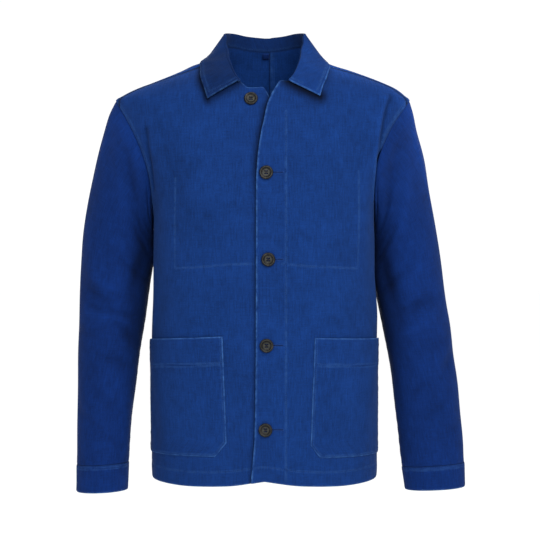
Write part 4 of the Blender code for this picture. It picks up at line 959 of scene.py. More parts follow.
def nearest_on(points, path, most=90):
    """How far points are from a path, and how far along it their nearest places are."""
    if len(path) > most:
        path = path[np.unique(np.linspace(0, len(path) - 1, most).round().astype(int))]
    flat = points.reshape(-1, 3)
    start, way = path[:-1], np.diff(path, axis=0)
    length = np.linalg.norm(way, axis=1)
    run = np.concatenate([[0], np.cumsum(length)[:-1]])
    away, along = np.empty(len(flat)), np.empty(len(flat))
    for low in range(0, len(flat), AT_ONCE):
        part = slice(low, low + AT_ONCE)
        from_start = flat[part, None] - start
        t = np.clip(np.sum(from_start * way, axis=2) / length**2, 0, 1)
        gap = np.linalg.norm(from_start - t[..., None] * way, axis=2)
        best = np.argmin(gap, axis=1)
        pick = np.arange(len(best))
        away[part] = gap[pick, best]
        along[part] = run[best] + t[pick, best] * length[best]
    return away.reshape(points.shape[:-1]), along.reshape(points.shape[:-1])


def measure(points, paths):
    """How far each point is from the nearest of several paths."""
    return np.minimum.reduce([nearest_on(points, path)[0] for path in paths])


def dip(away, depth, width):
    return -depth * np.exp(-((away / width) ** 2))


def pucker(away, along, seed, height, reach):
    """Small ripples square to a stitched seam, fading away from it."""
    draw = np.random.default_rng(seed)
    total = 0.0
    for _ in range(RIPPLE_WAVES):
        wave = along * 2 * math.pi / draw.uniform(*RIPPLE_LENGTHS)
        total = total + np.sin(wave + draw.uniform(*RIPPLE_PHASES))
    return height * total / RIPPLE_LEVEL * np.exp(-((away / reach) ** 2)) * ease(away, *RIPPLE_FROM)


# Sewn lines and edges: the groove's depth and width, and the ripples' height and reach beside it
Line = namedtuple("Line", "depth width ripple reach")
LINES = {
    "hem_row": Line(0.0006, 0.0018, 0.00022, 0.012),
    "hem_edge": Line(0.0006, 0.0012, 0, 1),
    "front_edge": Line(0.0007, 0.0014, 0.00030, 0.010),
    "inner_pocket": Line(0.00045, 0.0019, 0.00014, 0.011),
    "placket": Line(0.00035, 0.0019, 0.00016, 0.011),
    "fell": Line(0.0010, 0.0022, 0, 1),
    "under_edge": Line(0.0016, 0.0042, 0, 1),
    "sleeve_cap": Line(0.0003, 0.0016, 0.00022, 0.011),
    "sleeve_end": Line(0.0003, 0.0015, 0.00030, 0.014),
    "under_sleeve": Line(0.0006, 0.0015, 0.00018, 0.011),
    "cuff_seam": Line(0.0007, 0.0012, 0.00022, 0.013),
    "cuff_edge": Line(0.0009, 0.0013, 0.00024, 0.010),
    "cuff_row": Line(0.0003, 0.0010, 0, 1),
    "collar_edge": Line(0.0008, 0.0013, 0, 1),
    "collar_row": Line(0.00045, 0.0015, 0.00022, 0.010),
    "pocket_edge": Line(0.0012, 0.0013, 0, 1),
    "pocket_row": Line(0.00035, 0.0013, 0.00028, 0.012),
    "pocket_mouth": Line(0.0008, 0.0012, 0, 1),
    "pocket_band": Line(0.00035, 0.0012, 0.00022, 0.012),
}
SEEDS = {"sleeve_cap": 41, "sleeve_end": 51, "under_sleeve": 61, "cuff_seam": 71, "cuff_edge": 81, "cuff": 91,
         "collar_row": 17, "collar": 23, "pocket_row": 201, "pocket_band": 211, "pocket": 221}
PANEL_SEED = 101


def groove(away, key):
    return dip(away, LINES[key].depth, LINES[key].width)


def ripples(away, along, key, seed):
    return pucker(np.abs(away), along, seed, LINES[key].ripple, LINES[key].reach)


def normals_of(grid, closed_round=False):
    """Outward directions of a sheet: away from the middle of its rings, or of the torso."""
    if closed_round:
        wrapped = np.concatenate([grid[:, -1:], looped(grid)], axis=1)
        normals, hint = face_normals(wrapped)[:, 1:-1], grid - grid.mean(axis=1, keepdims=True)
    else:
        normals, hint = face_normals(grid), grid * (1, 1, 0)
    return normals * np.sign(np.sum(normals * hint))


def looped(grid):
    """A round grid with its first column again at the end."""
    return np.concatenate([grid, grid[:, :1]], axis=1)


def quads(index):
    corners = index[:-1, :-1], index[:-1, 1:], index[1:, 1:], index[1:, :-1]
    return np.stack([corner.ravel() for corner in corners], axis=1)


def added(name, mesh, material):
    """A piece of the dressed part, in its material."""
    mesh.materials.append(material)
    piece = bpy.data.objects.new(name, mesh)
    bpy.context.scene.collection.objects.link(piece)
    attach(piece, "root")
    return piece


def cloth(node, outer, thickness, flat, fields, material, closed_round=False, facing=None, inner_painted_light=1.0,
          kind="cloth"):
    """A closed thin sheet of cloth whose outer face is a grid of points, with rounded edges."""
    shape = outer.shape[:2]
    normals = normals_of(outer, closed_round) if facing is None else facing
    thick = np.broadcast_to(thickness, shape)[..., None]
    both = np.concatenate([outer.reshape(-1, 3), (outer - normals * thick).reshape(-1, 3)])
    back = shape[0] * shape[1]
    index = np.arange(back).reshape(shape)
    face = quads(index)
    if closed_round:
        face = np.concatenate([face, quads(index[:, [-1, 0]])])
        rims = [(index[0], index[1]), (index[-1], index[-2])]
    else:
        edge = np.concatenate([index[0], index[1:, -1], index[-1, -2::-1], index[-2:0:-1, 0]])
        inside = np.concatenate([index[1], index[1:, -2], index[-2, -2::-1], index[-2:0:-1, 1]])
        rims = [(edge, inside)]
    points, faces, source = [both], [face, face[:, ::-1] + back], [np.arange(back), np.arange(back)]
    total = 2 * back
    for edge, inside in rims:
        out = unit(both[edge] - both[inside])
        points.append((both[edge] + both[edge + back]) / 2 + out * thick.reshape(-1, 1)[edge] * EDGE_ROUND)
        at = total + np.arange(len(edge))
        after, at_after = np.roll(edge, -1), np.roll(at, -1)
        faces.append(np.stack([edge, at, at_after, after], axis=1))
        faces.append(np.stack([at, edge + back, after + back, at_after], axis=1))
        source.append(edge)
        total += len(edge)
    points, faces, source = np.concatenate(points), np.concatenate(faces), np.concatenate(source)
    mesh = bpy.data.meshes.new(f"{node}_{kind}")
    mesh.vertices.add(len(points))
    mesh.vertices.foreach_set("co", points.ravel())
    mesh.loops.add(faces.size)
    mesh.loops.foreach_set("vertex_index", faces.ravel().astype(np.int32))
    mesh.polygons.add(len(faces))
    mesh.polygons.foreach_set("loop_start", np.arange(0, faces.size, 4, dtype=np.int32))
    mesh.update(calc_edges=True)
    bm = bmesh.new()
    bm.from_mesh(mesh)
    bmesh.ops.recalc_face_normals(bm, faces=bm.faces)
    bm.to_mesh(mesh)
    bm.free()
    mesh.shade_smooth()
    put_flat(mesh, flat.reshape(-1, 2)[source], closed_round)
    for key in FIELDS:
        values = np.broadcast_to(fields.get(key, FAR), shape).ravel()[source]
        # The inner faces take their own share: painted light on the cloth's inside
        if key == "depth":
            values[back:2 * back] = inner_painted_light
        mesh.attributes.new(key, "FLOAT", "POINT").data.foreach_set("value", values.astype(np.float32))
    piece = added(f"{node}_{kind}", mesh, material)
    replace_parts(piece, node)
    return piece


def put_flat(mesh, flat, closed_round):
    """Each corner's place on the flat cut, in metres, for the weave."""
    loop_at = np.empty(len(mesh.loops), np.int32)
    mesh.loops.foreach_get("vertex_index", loop_at)
    place = np.zeros((len(loop_at), 3), np.float32)
    place[:, :2] = flat[loop_at]
    if closed_round:
        round_about = flat[:, 0].max() * ROUND_AGAIN
        corners = place[:, 0].reshape(-1, 4)
        split = (corners.max(axis=1) - corners.min(axis=1)) > round_about / 2
        low = corners < round_about / 2
        corners[split[:, None] & low] += round_about
        place[:, 0] = corners.ravel()
    mesh.attributes.new("flat", "FLOAT_VECTOR", "CORNER").data.foreach_set("vector", place.ravel())


def flat_of(grid):
    """Cloth coordinates of a grid, measured along its rows and columns."""
    across = run_of(grid, axis=1)
    up = np.linalg.norm(np.diff(grid, axis=0), axis=2).mean(axis=1)
    rise = np.concatenate([[0], np.cumsum(up)])
    return np.stack([across, np.broadcast_to(rise[:, None], across.shape)], axis=-1)


def state_cut(piece, width, tall, held, grid, **rest):
    """Reads a sheet's flat cut, from its longest row and column, and does nothing more with it."""
    width, tall = float(width), float(tall)


# ---------------------------------------------------------------- stitches

STITCH_PITCH = 0.0031
STITCH_LENGTH = 0.0024
STITCH_WIDTH = 0.00034
STITCH_LEAN = 0.12
STITCH_HUBS = 0.55  # where a stitch is thickest, as a share of its half
STITCH_SINKS = 0.6  # below and above the cloth, as shares of a stitch's width
STITCH_STANDS = 0.25
STITCH_ROUND = 0.8  # height of a stitch's section over its width
TURN_ROUND = ((1, 0), (0, 1), (-1, 0), (0, -1))


def stitches(node, piece, rows_of_stitching, pitch=STITCH_PITCH, length=STITCH_LENGTH, width=STITCH_WIDTH):
    """Rows of real stitches lying on a piece's outer face, as one mesh."""
    name = f"{node}_stitches"
    bm = bmesh.new()
    bm.from_mesh(piece.data)
    tree = BVHTree.FromBMesh(bm)
    bm.free()
    draw = np.random.default_rng(len(name) * 7 + len(rows_of_stitching))
    points, faces = [], []
    for path in rows_of_stitching:
        run = run_of(path)
        count = max(int(run[-1] / pitch), 1)
        at = (np.arange(count) + 0.5) * run[-1] / count
        places = [picked(path, run, np.clip(at + half, 0, run[-1])) for half in (-length / 2, length / 2)]
        for start, end, middle in zip(*places, picked(path, run, at)):
            hit = tree.find_nearest(Vector(middle))
            if hit[0] is None:
                continue
            normal = np.array(hit[1])
            shift = np.array(hit[0]) - middle
            start, end, middle = start + shift, end + shift, middle + shift
            way = unit(end - start)
            across = unit(np.cross(normal, way))
            way = unit(way + across * draw.uniform(-STITCH_LEAN, STITCH_LEAN))
            half = length / 2 * draw.uniform(0.9, 1.05)
            base = len(points)
            points.append(middle - way * half - normal * width * STITCH_SINKS)
            for share in (-STITCH_HUBS, STITCH_HUBS):
                hub = middle + way * half * share + normal * width * STITCH_STANDS
                points += [hub + across * width * x + normal * width * STITCH_ROUND * n
                           for x, n in TURN_ROUND]
            points.append(middle + way * half - normal * width * STITCH_SINKS)
            for k in range(4):
                n = (k + 1) % 4
                faces.append((base, base + 1 + n, base + 1 + k))
                faces.append((base + 1 + k, base + 1 + n, base + 5 + n, base + 5 + k))
                faces.append((base + 9, base + 5 + k, base + 5 + n))
    add_piece(name, points, faces, THREAD, "twill")


def add_piece(name, verts, faces, material, slot):
    mesh = bpy.data.meshes.new(name)
    mesh.from_pydata([tuple(v) for v in verts], [], faces)
    mesh.shade_smooth()
    added(name, mesh, material)


def inset(grid, edge, away):
    """A path on a grid's outer face that keeps this distance from one edge of it."""
    lines = {"bottom": grid, "top": grid[::-1], "left": grid.transpose(1, 0, 2),
             "right": grid[:, ::-1].transpose(1, 0, 2)}[edge]
    near = lines[:40]
    gap, _ = nearest_on(near, lines[0], 140)
    return np.array([cut_at(near[:, col], gap[:, col], away) for col in range(near.shape[1])])


def cut_at(line, gap, away):
    """Where a line of points first lies this far from the edge that it starts at."""
    return picked(line, np.maximum.accumulate(gap), away)


# ---------------------------------------------------------------- materials


class Shader:
    """Small helper for building one material's nodes."""

    def __init__(self, name):
        self.material = bpy.data.materials.new(name)
        self.material.use_nodes = True
        self.tree = self.material.node_tree
        self.surface = self.tree.nodes["Principled BSDF"]

    def node(self, kind, settings=None, **inputs):
        made = self.tree.nodes.new(kind)
        for key, value in (settings or {}).items():
            setattr(made, key, value)
        for key, value in inputs.items():
            self.feed(made.inputs[key.replace("_", " ")], value)
        return made

    def feed(self, socket, value):
        if isinstance(value, bpy.types.NodeSocket):
            self.tree.links.new(value, socket)
        else:
            socket.default_value = value

    def math(self, operation, *values):
        made = self.tree.nodes.new("ShaderNodeMath")
        made.operation = operation
        for socket, value in zip(made.inputs, values):
            self.feed(socket, value)
        return made.outputs[0]

    def clamped(self, operation, *values):
        """The same, kept between 0 and 1."""
        socket = self.math(operation, *values)
        socket.node.use_clamp = True
        return socket

    def place(self):
        return self.node("ShaderNodeTexCoord").outputs["Object"]

    def centred(self, value):
        """A noise about nought."""
        return self.math("SUBTRACT", value, 0.5)

    def bump(self, height, strength, distance):
        made = self.node("ShaderNodeBump", Strength=strength, Distance=distance, Height=height)
        self.set(Normal=made.outputs[0])

    def field(self, name):
        return self.node("ShaderNodeAttribute", {"attribute_name": name}).outputs

    def noise(self, vector, scale, detail=2.0, roughness=0.5):
        made = self.node("ShaderNodeTexNoise", {"noise_dimensions": "3D"}, Scale=scale, Detail=detail,
                         Roughness=roughness, Vector=vector)
        return made.outputs[0]

    def stretched(self, vector, x, y, z=1.0):
        made = self.node("ShaderNodeVectorMath", {"operation": "MULTIPLY"})
        self.feed(made.inputs[0], vector)
        self.feed(made.inputs[1], (x, y, z))
        return made.outputs[0]

    def fall(self, value, near, far):
        """1 at near and below, 0 at far and beyond."""
        made = self.node("ShaderNodeMapRange", {"interpolation_type": "SMOOTHSTEP"}, Value=value)
        for key, number in (("From Min", near), ("From Max", far), ("To Min", 1.0), ("To Max", 0.0)):
            made.inputs[key].default_value = number
        return made.outputs[0]

    def mix(self, share, low, high):
        made = self.node("ShaderNodeMix", {"data_type": "RGBA"})
        self.feed(made.inputs[0], share)
        self.feed(made.inputs[6], low)
        self.feed(made.inputs[7], high)
        return made.outputs[2]

    def times(self, colour, share):
        made = self.node("ShaderNodeVectorMath", {"operation": "SCALE"})
        self.feed(made.inputs[0], colour)
        self.feed(made.inputs[3], share)
        return made.outputs[0]

    def set(self, **inputs):
        for key, value in inputs.items():
            self.feed(self.surface.inputs[key.replace("_", " ")], value)


def scaled(colour, share):
    return tuple(min(channel * share, 1.0) for channel in colour[:3]) + (1.0,)


BLUE = (0.0022, 0.0136, 0.0670)
# A darker copy of the body's blue for the sleeves and cuffs: painted shade where they turn away from the
# light
BLUE_SLEEVE_SHADED = (0.0013, 0.0094, 0.0560)
WORN = (0.0190, 0.0580, 0.1600, 1.0)
THREAD_BLUE = (0.0040, 0.0200, 0.0900)
THREAD_NAVY = (0.0015, 0.0040, 0.0200)
TAPE_NAVY = (0.0024, 0.0115, 0.0620)
HORN_BLACK = (0.0022, 0.0021, 0.0020, 1.0)
HORN_BROWN = (0.0130, 0.0110, 0.0090, 1.0)
# Olive of the paler dish and of the painted highlight along the rim
HORN_OLIVE_AND_HIGHLIGHT = (0.029, 0.031, 0.028, 1.0)
SHEEN_BLUE = (0.30, 0.50, 0.95, 1.0)
EDGE_WEAR = 0.75
ROW_WEAR = 0.22
# Painted shade in the sunk stitch rows and seams: how far each goes toward the seam's shaded colour
ROW_PAINTED_SHADE = 0.22
SEAM_PAINTED_SHADE = 0.70
SEAM_SHADE = 0.30  # share of the colour that is left in a seam
TONE_RANGE = (0.56, 1.44)
CLOUD_SHARE = 0.55
# Distances from an edge, a row of stitches or a seam between which its look fades, in metres
EDGE_FADE = (0.0003, 0.0024)
BESIDE_ROW = 0.0014
BESIDE_FADE = (0.0002, 0.0013)
ROW_FADE = (0.0002, 0.0010)
SEAM_FADE = (0.0003, 0.0014)
RIB_WIDTH = 0.00125
RIB_LENGTH = 0.00100
# Bump: what each feature adds to the cloth's height
RIB_HEIGHT = 0.22
YARN_HEIGHT = 0.9
ROW_SUNK = 1.2
SEAM_SUNK_BUMP = 2.0
# Noise layers: scale, detail and roughness
CLOUDY = (9.0, 3.0, 0.55)
PATCHY = (55.0, 2.0, 0.5)
YARN = (1.0, 2.0, 0.55)
FLECK = (1.0, 3.0, 0.65)
RUBBED = (120.0, 3.0, 0.6)
GRAIN = (900.0, 3.0, 0.6)
HORN_CLOUD = (210.0, 4.0, 0.62)
HORN_STREAK = (420.0, 3.0, 0.6)
# Yarns and flecks for each metre across and along the cloth
WARP_YARNS = (430.0, 46.0)
WEFT_YARNS = (60.0, 400.0)
FLECKS = (520.0, 460.0)
# Button, by share of its radius: the dish between its holes and its rim, and the painted highlight along the
# rim
DISH_FROM = (0.44, 0.56)
DISH_TO = (0.12, 0.24)
RIM_HIGHLIGHT_AT = 0.80
RIM_HIGHLIGHT_FADE = (0.015, 0.055)
HORN_CLOUD_FADE = (0.58, 0.74)


def twill(name, colour):
    """Cotton twill: slubbed yarns, diagonal ribs, slow fading, wear along edges and seams, painted shade in
    the sunk seams and stitch rows, and the painted light and shade of the depth field.
    """
    s = Shader(name)
    flat, place = s.field("flat")[1], s.place()
    cloudy, patchy = s.noise(place, *CLOUDY), s.noise(place, *PATCHY)
    warp = s.noise(s.stretched(flat, *WARP_YARNS), *YARN)
    weft = s.noise(s.stretched(flat, *WEFT_YARNS), *YARN)
    fleck = s.noise(s.stretched(flat, *FLECKS), *FLECK)
    tone = s.math("MULTIPLY_ADD", s.centred(cloudy), CLOUD_SHARE, 0.5)
    for grain, share in ((patchy, 0.44), (warp, 0.92), (weft, 0.50), (fleck, 1.00)):
        tone = s.math("MULTIPLY_ADD", s.centred(grain), share, tone)
    body_colour = s.mix(tone, *(scaled(colour, share) for share in TONE_RANGE))
    rubbed = s.clamped("MULTIPLY_ADD", s.centred(s.noise(place, *RUBBED)), 3.0, 0.55)
    at_edge = s.math("MULTIPLY", s.fall(s.field("edge")[2], *EDGE_FADE), rubbed)
    at_row = s.field("row")[2]
    beside = s.fall(s.math("ABSOLUTE", s.math("SUBTRACT", at_row, BESIDE_ROW)), *BESIDE_FADE)
    beside = s.math("MULTIPLY", beside, rubbed)
    in_row, in_seam = s.fall(at_row, *ROW_FADE), s.fall(s.field("seam")[2], *SEAM_FADE)
    light = s.math("MULTIPLY_ADD", at_edge, EDGE_WEAR, s.math("MULTIPLY", beside, ROW_WEAR))
    worn = s.mix(light, body_colour, WORN)
    # Painted shade in the sunk stitch rows and seams, then the colour times the depth field's painted light
    # and shade
    dark = s.math("MULTIPLY_ADD", in_row, ROW_PAINTED_SHADE, s.math("MULTIPLY", in_seam, SEAM_PAINTED_SHADE))
    s.set(Base_Color=s.times(s.mix(dark, worn, scaled(colour, SEAM_SHADE)), s.field("depth")[2]))
    parts = s.node("ShaderNodeSeparateXYZ", Vector=flat).outputs
    rib = s.math("MULTIPLY", parts[1], 2 * math.pi / RIB_LENGTH)
    rib = s.math("MULTIPLY_ADD", parts[0], 2 * math.pi / RIB_WIDTH, rib)
    rib = s.math("SINE", s.math("ADD", rib, s.math("MULTIPLY", s.centred(fleck), 3.0)))
    yarns = s.math("MULTIPLY", s.math("ADD", warp, weft), YARN_HEIGHT)
    height = s.math("MULTIPLY_ADD", rib, RIB_HEIGHT, yarns)
    for mask, sunk in ((in_row, ROW_SUNK), (in_seam, SEAM_SUNK_BUMP)):
        height = s.math("SUBTRACT", height, s.math("MULTIPLY", mask, sunk))
    s.bump(height, 0.6, 0.00030)
    s.set(Roughness=s.math("MULTIPLY_ADD", fleck, 0.14, 0.80), Metallic=0.0, IOR=1.45,
          Specular_IOR_Level=0.04, Sheen_Weight=0.03, Sheen_Roughness=0.5, Sheen_Tint=SHEEN_BLUE)
    return s.material


def plain_cloth(name, colour, roughness):
    s = Shader(name)
    grain = s.noise(s.stretched(s.place(), 1.0, 1.0, 2.2), *GRAIN)
    s.set(Base_Color=s.mix(grain, scaled(colour, 0.6), scaled(colour, 1.45)), Roughness=roughness,
          Metallic=0.0, IOR=1.45, Specular_IOR_Level=0.04, Sheen_Weight=0.02, Sheen_Roughness=0.4)
    s.bump(grain, 0.5, 0.0002)
    return s.material


def horn(name):
    """Dark horn with small brown clouds, paler in its dish, with a painted highlight along its rim."""
    s = Shader(name)
    place = s.place()
    cloud = s.noise(s.stretched(place, 1.0, 1.0, 0.6), *HORN_CLOUD)
    streak = s.noise(s.stretched(place, 3.0, 1.0, 1.0), *HORN_STREAK)
    share = s.fall(s.math("MULTIPLY_ADD", streak, 0.4, s.math("MULTIPLY", cloud, 0.8)), *HORN_CLOUD_FADE)
    reach = s.field("reach")[2]
    dish = s.math("SUBTRACT", s.fall(reach, *DISH_FROM), s.fall(reach, *DISH_TO))
    # A painted highlight along the rim's crest
    rim = s.fall(s.math("ABSOLUTE", s.math("SUBTRACT", reach, RIM_HIGHLIGHT_AT)), *RIM_HIGHLIGHT_FADE)
    ground = s.mix(share, HORN_BROWN, HORN_BLACK)
    pale = s.math("MULTIPLY", s.math("MAXIMUM", dish, rim), s.math("MULTIPLY_ADD", cloud, 1.3, -0.12))
    s.set(Base_Color=s.mix(pale, ground, HORN_OLIVE_AND_HIGHLIGHT), Metallic=0.0, IOR=1.50,
          Roughness=s.math("MULTIPLY_ADD", cloud, 0.25, 0.30), Specular_IOR_Level=0.08)
    s.bump(streak, 0.3, 0.0002)
    return s.material


TWILL = twill("twill_body", BLUE)
# The sleeves' and cuffs' twill in the darker blue: painted shade
TWILL_SLEEVE_SHADED = twill("twill_sleeve_shaded", BLUE_SLEEVE_SHADED)
THREAD = plain_cloth("thread_blue", THREAD_BLUE, 0.65)
DARK_THREAD = plain_cloth("thread_navy", THREAD_NAVY, 0.7)
TAPE = plain_cloth("tape_navy", TAPE_NAVY, 0.85)
HORN = horn("horn_dark")


# ---------------------------------------------------------------- the pieces

LOW = len(LOWER) - 1
SHOULDER_COLS = len(SHOULDER) - 1
HOLES = {side: armhole(side) for side in (RIGHT, LEFT)}
ARM = len(UPPER)
# Seams: the groove's width, the raised double edge where one is topstitched, and the ripples
SEAM_WIDTH = 0.0015
SEAM_RAISED = 0.00045
SEAM_EDGE = 0.0012
BAND_SOFT = 0.0009
SEAM_RIPPLE = {True: 0.00016, False: 0.00010}
SEAM_REACH = 0.011
PANEL_EDGE = {"side": "right", "arm": "right", "shoulder": "top", "centre": "left"}
HEM_RAISED = 0.0004
HEM_THICKER = 0.0010
HEM_FADES = (0.001, 0.002)
FRONT_EDGE_RAISED = 0.0005
FRONT_EDGE_FADES = (0.004, 0.010)
LINE_STEP = 0.004
UNDER_EDGE_AT = 0.0030
UNDER_EDGE_LEAST = 0.40  # share of the shade under the free edge that is left below the neck opening
UNDER_REACH_LEAST = 0.35
CENTRE_BACK_GAP = 0.0001


def front_line(side, corners):
    """A path on a front through (x, z) corners."""
    parts = []
    for start, end in zip(corners, corners[1:]):
        steps = max(int(math.hypot(end.x - start.x, end.z - start.z) / LINE_STEP), 2)
        share = np.linspace(0, 1, steps)
        x, z = start.x + (end.x - start.x) * share, start.z + (end.z - start.z) * share
        parts.append(front_point(side, angle_at_x(x, z), z))
    return joined(*parts)


def seam_relief(points, path, seed, stitched, sunk):
    """A sunk seam, with the raised double edge beside it where it is topstitched."""
    away, along = nearest_on(points, path)
    relief = dip(away, sunk, SEAM_WIDTH)
    if stitched:
        up, down = (ease(away, at - BAND_SOFT, at + BAND_SOFT) for at in (SEAM_EDGE, FAR_ROW + SEAM_EDGE))
        relief = relief + SEAM_RAISED * (up * (1 - down))
    return relief + pucker(away, along, seed, SEAM_RIPPLE[stitched], SEAM_REACH), away


def collar_edges(side):
    """The lines on the torso under the collar's front end and under the free edge of its fall."""
    degrees = np.linspace(COLLAR_END_ANGLE, 120, 60)
    angle = side * np.radians(COLLAR_AT["edge_angle"](degrees))
    z = COLLAR_AT["edge_z"](degrees) + COLLAR_AT["rise_" + SIDES[side]](degrees)
    start = side * math.radians(COLLAR_END_ANGLE)
    share = np.linspace(0, 1, 20)
    end = body(start + (angle[0] - start) * share, neck_z(start) + (z[0] - neck_z(start)) * share)
    return {"end": end, "free": body(angle, z)}


def panel_edges(side, is_front):
    """A panel's four edges as (angle, z) paths, its columns, and how many lie before the neck seam."""
    ring = HOLES[side]["ring"]
    shoulder = shoulder_path(side, ring[ARM - 1])
    if is_front:
        centre = centre_front_path(side)
        neck = neck_path(side, COLLAR_END_ANGLE, NECK_POINT, FRONT_NECK)
        top = joined(free_top(side, centre[-1], neck[0]), neck, shoulder)
        arm, cols, free = ring[:ARM], FRONT_COLS, len(FREE_TOP) - 1
    else:
        centre = centre_back_path(side)
        neck = neck_path(side, abs(math.degrees(centre[-1, 0])), NECK_POINT, BACK_NECK)
        neck[0] = centre[-1]
        top = joined(neck, shoulder)
        arm, cols, free = np.concatenate([ring[ARM - 1:], ring[:1]])[::-1], BACK_COLS, 0
    hem = hem_path(centre[0, 0], side * math.pi / 2, cols)
    hem[0] = centre[0]
    return hem, joined(side_path(side), arm), top, centre, cols, free


def dress_panel(side, is_front):
    name = ("front_" if is_front else "back_") + SIDES[side]
    *edges, cols, free = panel_edges(side, is_front)
    angles, cut = patch(side, is_front, *edges, cols)
    angle, z = angles[..., 0], angles[..., 1]

    def lifted(lift):
        return front_point(side, angle, z, lift) if is_front else body(angle, z, lift)

    base = lifted(0.0)
    if not is_front:
        base[:, 0, 0] = CENTRE_BACK_X
    seeds = itertools.count(PANEL_SEED + 10 * side + 5 * is_front)
    paths = {"side": base[: LOW + 1, -1], "arm": base[LOW:, -1], "shoulder": base[-1, -SHOULDER_COLS - 1:],
             "neck": base[-1, free:-SHOULDER_COLS], "centre": base[:, 0]}
    relief, seams = np.zeros(base.shape[:2]), []
    stitched = {"side": not is_front, "arm": True, "shoulder": is_front, "neck": False}
    if not is_front:
        stitched["centre"] = side == LEFT
    for key, has_rows in stitched.items():
        part, away = seam_relief(base, paths[key], next(seeds), has_rows, SEAM_SUNK[key])
        relief += part
        seams.append(away + SEAM_PALE[key])
    to_hem, along_hem = nearest_on(base, base[0])
    relief += HEM_RAISED * (1 - ease(to_hem, HEM_ROW - HEM_FADES[0], HEM_ROW + HEM_FADES[1]))
    relief += groove(to_hem - HEM_ROW, "hem_row")
    relief += ripples(to_hem - HEM_ROW, along_hem, "hem_row", next(seeds))
    relief += groove(to_hem, "hem_edge")
    edges, rows = [to_hem], [inset(base, "bottom", HEM_ROW)]
    to_shoulder, along_shoulder = nearest_on(base, paths["shoulder"])
    # Painted light along the shoulder seam, where the shoulders face the light
    depth = 1 - dip(to_shoulder, *SHOULDER_PAINTED_LIGHT[side])
    if is_front:
        to_edge, along_edge = nearest_on(base, base[:, 0])
        to_free, _ = nearest_on(base, base[-1, : free + 1])
        edges += [to_edge * (TURNED_EDGE_PALE if side == LEFT else 1.0), to_free]
        relief += groove(to_edge, "front_edge") + groove(to_free, "front_edge")
        relief += FRONT_EDGE_RAISED * (1 - ease(to_edge, *FRONT_EDGE_FADES))
        relief += ripples(to_edge, along_edge, "front_edge", next(seeds))
        lines = {"inner_pocket": INNER_POCKET_ROWS[side]}
        if side == LEFT:
            lines["placket"] = PLACKET_LINE
        for key, corners in lines.items():
            line = front_line(side, corners)
            to_line, along_line = nearest_on(base, line)
            relief += groove(to_line, key) + ripples(to_line, along_line, key, next(seeds))
            rows.append(line)
        more_relief, more_depth = front_shades(side, base, z, to_shoulder, along_shoulder)
        relief, depth = relief + more_relief, depth + more_depth
    # Painted light on the folds' ridges and painted shade in their troughs, never below the least share of
    # the colour
    depth = np.maximum(depth + BODY_FOLD_PAINTED_LIGHT * body_folds(angle, z), LEAST_PAINTED_SHADE_SHARE)
    outer = lifted(relief)
    if not is_front:
        outer[:, 0, 0] = CENTRE_BACK_X + side * CENTRE_BACK_GAP
    for key, has_rows in stitched.items():
        for away in (NEAR_ROW, FAR_ROW) if has_rows else ():
            path = inset(base, PANEL_EDGE[key], away)
            rows.append({"side": path[:LOW + 1], "arm": path[LOW:], "shoulder": path[-SHOULDER_COLS:],
                         "centre": path}[key])
    fields = {"seam": np.minimum.reduce(seams), "edge": np.minimum.reduce(edges), "row": measure(base, rows),
              "depth": depth}
    flat = np.stack([np.abs(cut[..., 0]), cut[..., 1] - cut[..., 1].min()], axis=-1)
    thickness = CLOTH + HEM_THICKER * (1 - ease(to_hem, HEM_ROW, HEM_ROW + HEM_FADES[1]))
    piece = cloth(name, outer, thickness, flat, fields, TWILL, inner_painted_light=INSIDE_PAINTED_LIGHT)
    stitches(name, piece, rows)
    state_cut(piece, np.ptp(cut[..., 0]), np.ptp(cut[..., 1]), "draped", outer)
    return outer, piece


def front_shades(side, base, z, to_shoulder, along_shoulder):
    """Relief, and painted shadow and light, of a front beside the shoulder seam, the collar, the arm and the
    other front.
    """
    # Painted shadow line in front of the shoulder seam, under the edge of its felled allowance
    to_fell = to_shoulder - np.interp(along_shoulder, (0, along_shoulder.max()), SHOULDER_FELL)
    relief, depth = groove(to_fell, "fell"), dip(to_fell, *SHOULDER_PAINTED_SHADOW)
    shades = [dip(nearest_on(base, path)[0], *COLLAR_SHADE[side][edge])
              for edge, path in collar_edges(side).items()]
    depth = depth + np.minimum(*shades)
    for crease in LONG_CREASES[side]:
        away, _ = nearest_on(base, front_line(side, crease.corners))
        relief = relief + dip(away, crease.depth, crease.width)
        # Painted shade in the crease, or painted light where its dark share is negative
        depth = depth + dip(away, crease.dark, crease.width)
    # Painted shadow on the button side beside the overlapping free edge, over a real groove
    if side == RIGHT:
        inside = np.maximum(EDGE_AT["top_x"](z) - base[..., 0], 0)
        shut = 1 - ease(-z, UNDER_EDGE_DEEP_Z, UNDER_EDGE_SHALLOW_Z) * (1 - UNDER_EDGE_LEAST)
        reach = UNDER_EDGE_REACH * (UNDER_REACH_LEAST + (1 - UNDER_REACH_LEAST) * shut)
        relief = relief + shut * groove(inside - UNDER_EDGE_AT, "under_edge")
        shade = UNDER_EDGE_LEAST + (1 - UNDER_EDGE_LEAST) * shut
        depth = depth + dip(inside, UNDER_EDGE_PAINTED_SHADOW, reach) * shade
    return relief, depth


# Sleeves: how the painted light and shade follow the folds, and where each painted light and shade begins and
# ends
SLEEVE_FLAT_LENGTH = 0.64
SLEEVE_EASE = 1.12  # the cut is this much longer than the folded sleeve
FOLD_PAINTED_LIGHT_RANGE = (0.6, 1.4)
CAP_PAINTED_LIGHT_TO = 0.16
OUTER_PAINTED_LIGHT_TURNS = (0.2, 1.0)
OUTER_PAINTED_LIGHT_FADES = (0.10, 0.45)
INNER_PAINTED_SHADE_TURNS = (1.7, 2.4)
INNER_PAINTED_SHADE_STARTS = (0.12, 0.30)
INNER_PAINTED_SHADE_FADES = (0.62, 0.80)


